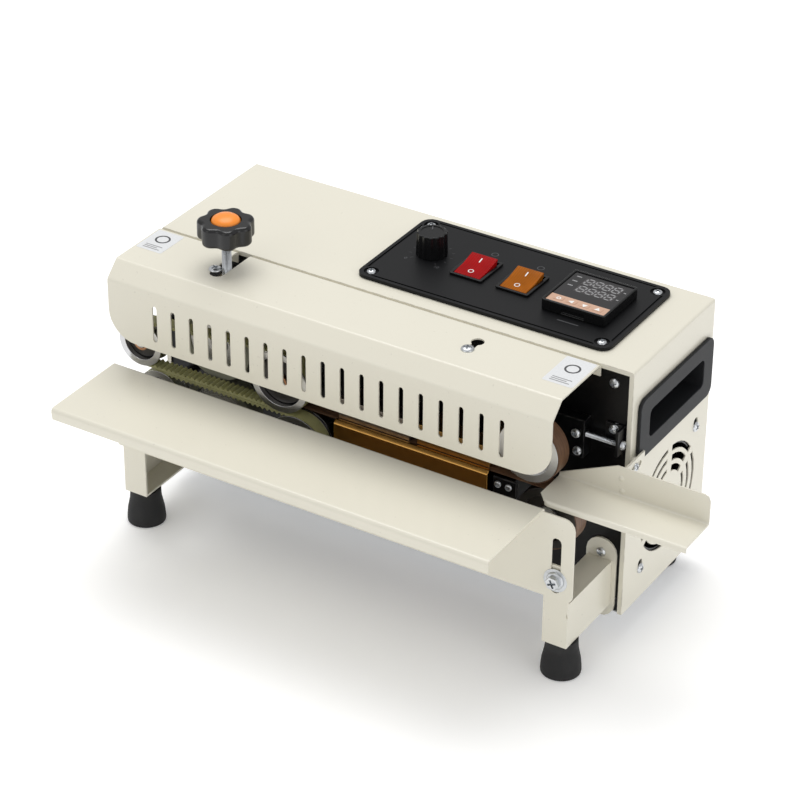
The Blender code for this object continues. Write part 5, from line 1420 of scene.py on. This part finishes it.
# ---------------------------------------------------------------- studio
@dataclass
class Studio:
    """Pale floor, soft lights and the camera."""

    lens: float = 131.4
    azimuth: float = 31.6
    elevation: float = 31.44
    roll: float = 0.41
    distance: float = 2.058
    target: tuple[float, float, float] = (-0.04583, 0.04437, 0.110)

    def build(self) -> None:
        """Sets the stage."""
        floor = Shape()
        bmesh.ops.create_grid(floor.bm, x_segments=1, y_segments=1, size=9.0)
        mesh = bpy.data.meshes.new("floor")
        floor.bm.to_mesh(mesh)
        floor.bm.free()
        n = Nodes("pale_floor")
        mesh.materials.append(n.shade(base_color=(0.97, 0.97, 0.97), roughness=0.8, specular_ior_level=0.05,
                                      emission_color=(1.0, 1.0, 1.0), emission_strength=0.18))
        ground = bpy.data.objects.new("floor", mesh)
        bpy.context.collection.objects.link(ground)
        world = bpy.data.worlds.new("studio_air")
        world.use_nodes = True
        world.node_tree.nodes["Background"].inputs["Color"].default_value = (1.0, 1.0, 1.0, 1.0)
        world.node_tree.nodes["Background"].inputs["Strength"].default_value = 0.60
        scene = bpy.context.scene
        scene.world = world
        scene.view_settings.view_transform = "Standard"
        scene.view_settings.look = "None"
        for name, spot, size, power in (("key", (-0.8, -2.5, 1.3), 1.8, 7.0), ("top", (-0.5, 0.5, 2.5), 1.8, 37.0),
                                        ("side", (2.2, -0.6, 0.9), 1.4, 6.0)):
            self.lamp(name, Vector(spot), size, power)
        self.camera()

    def lamp(self, name: str, spot: Vector, size: float, power: float) -> None:
        """Hangs one soft square light that looks at the machine."""
        light = bpy.data.lights.new(name, "AREA")
        light.energy, light.size = power, size
        holder = bpy.data.objects.new(name, light)
        holder.location = spot
        holder.rotation_euler = (Vector((0, 0, 0.1)) - spot).to_track_quat("-Z", "Y").to_euler()
        bpy.context.collection.objects.link(holder)

    def camera(self) -> None:
        """Places the camera."""
        az, el, roll = map(math.radians, (self.azimuth, self.elevation, self.roll))
        back = Vector((math.sin(az) * math.cos(el), -math.cos(az) * math.cos(el), math.sin(el)))
        right = Vector((math.cos(az), math.sin(az), 0))
        up = back.cross(right)
        side = right * math.cos(roll) + up * math.sin(roll)
        rise = up * math.cos(roll) - right * math.sin(roll)
        lens = bpy.data.cameras.new("camera")
        lens.lens, lens.sensor_width, lens.clip_end = self.lens, 36.0, 50.0
        holder = bpy.data.objects.new("camera", lens)
        turn = Matrix((side, rise, back)).transposed().to_4x4()
        holder.matrix_world = Matrix.Translation(Vector(self.target) + back * self.distance) @ turn
        bpy.context.collection.objects.link(holder)
        bpy.context.scene.camera = holder


def main() -> None:
    """Builds every sub-assembly in order."""
    logging.basicConfig(level=logging.INFO, format="%(message)s")
    parts = [Studio(), Cabinet(), Cover(), Handle("right"), Handle("left"), Rear(), Panel(), Dial(),
             Rocker("red", RED), Rocker("amber", AMBER), Controller(), PressureKnob(), Supports(), BagTray(),
             Infeed(), SealingHead(), Tension(), Fan()]
    for part in parts:
        LOG.info("%s", type(part).__name__)
        part.build()


if __name__ == "__main__":
    main()
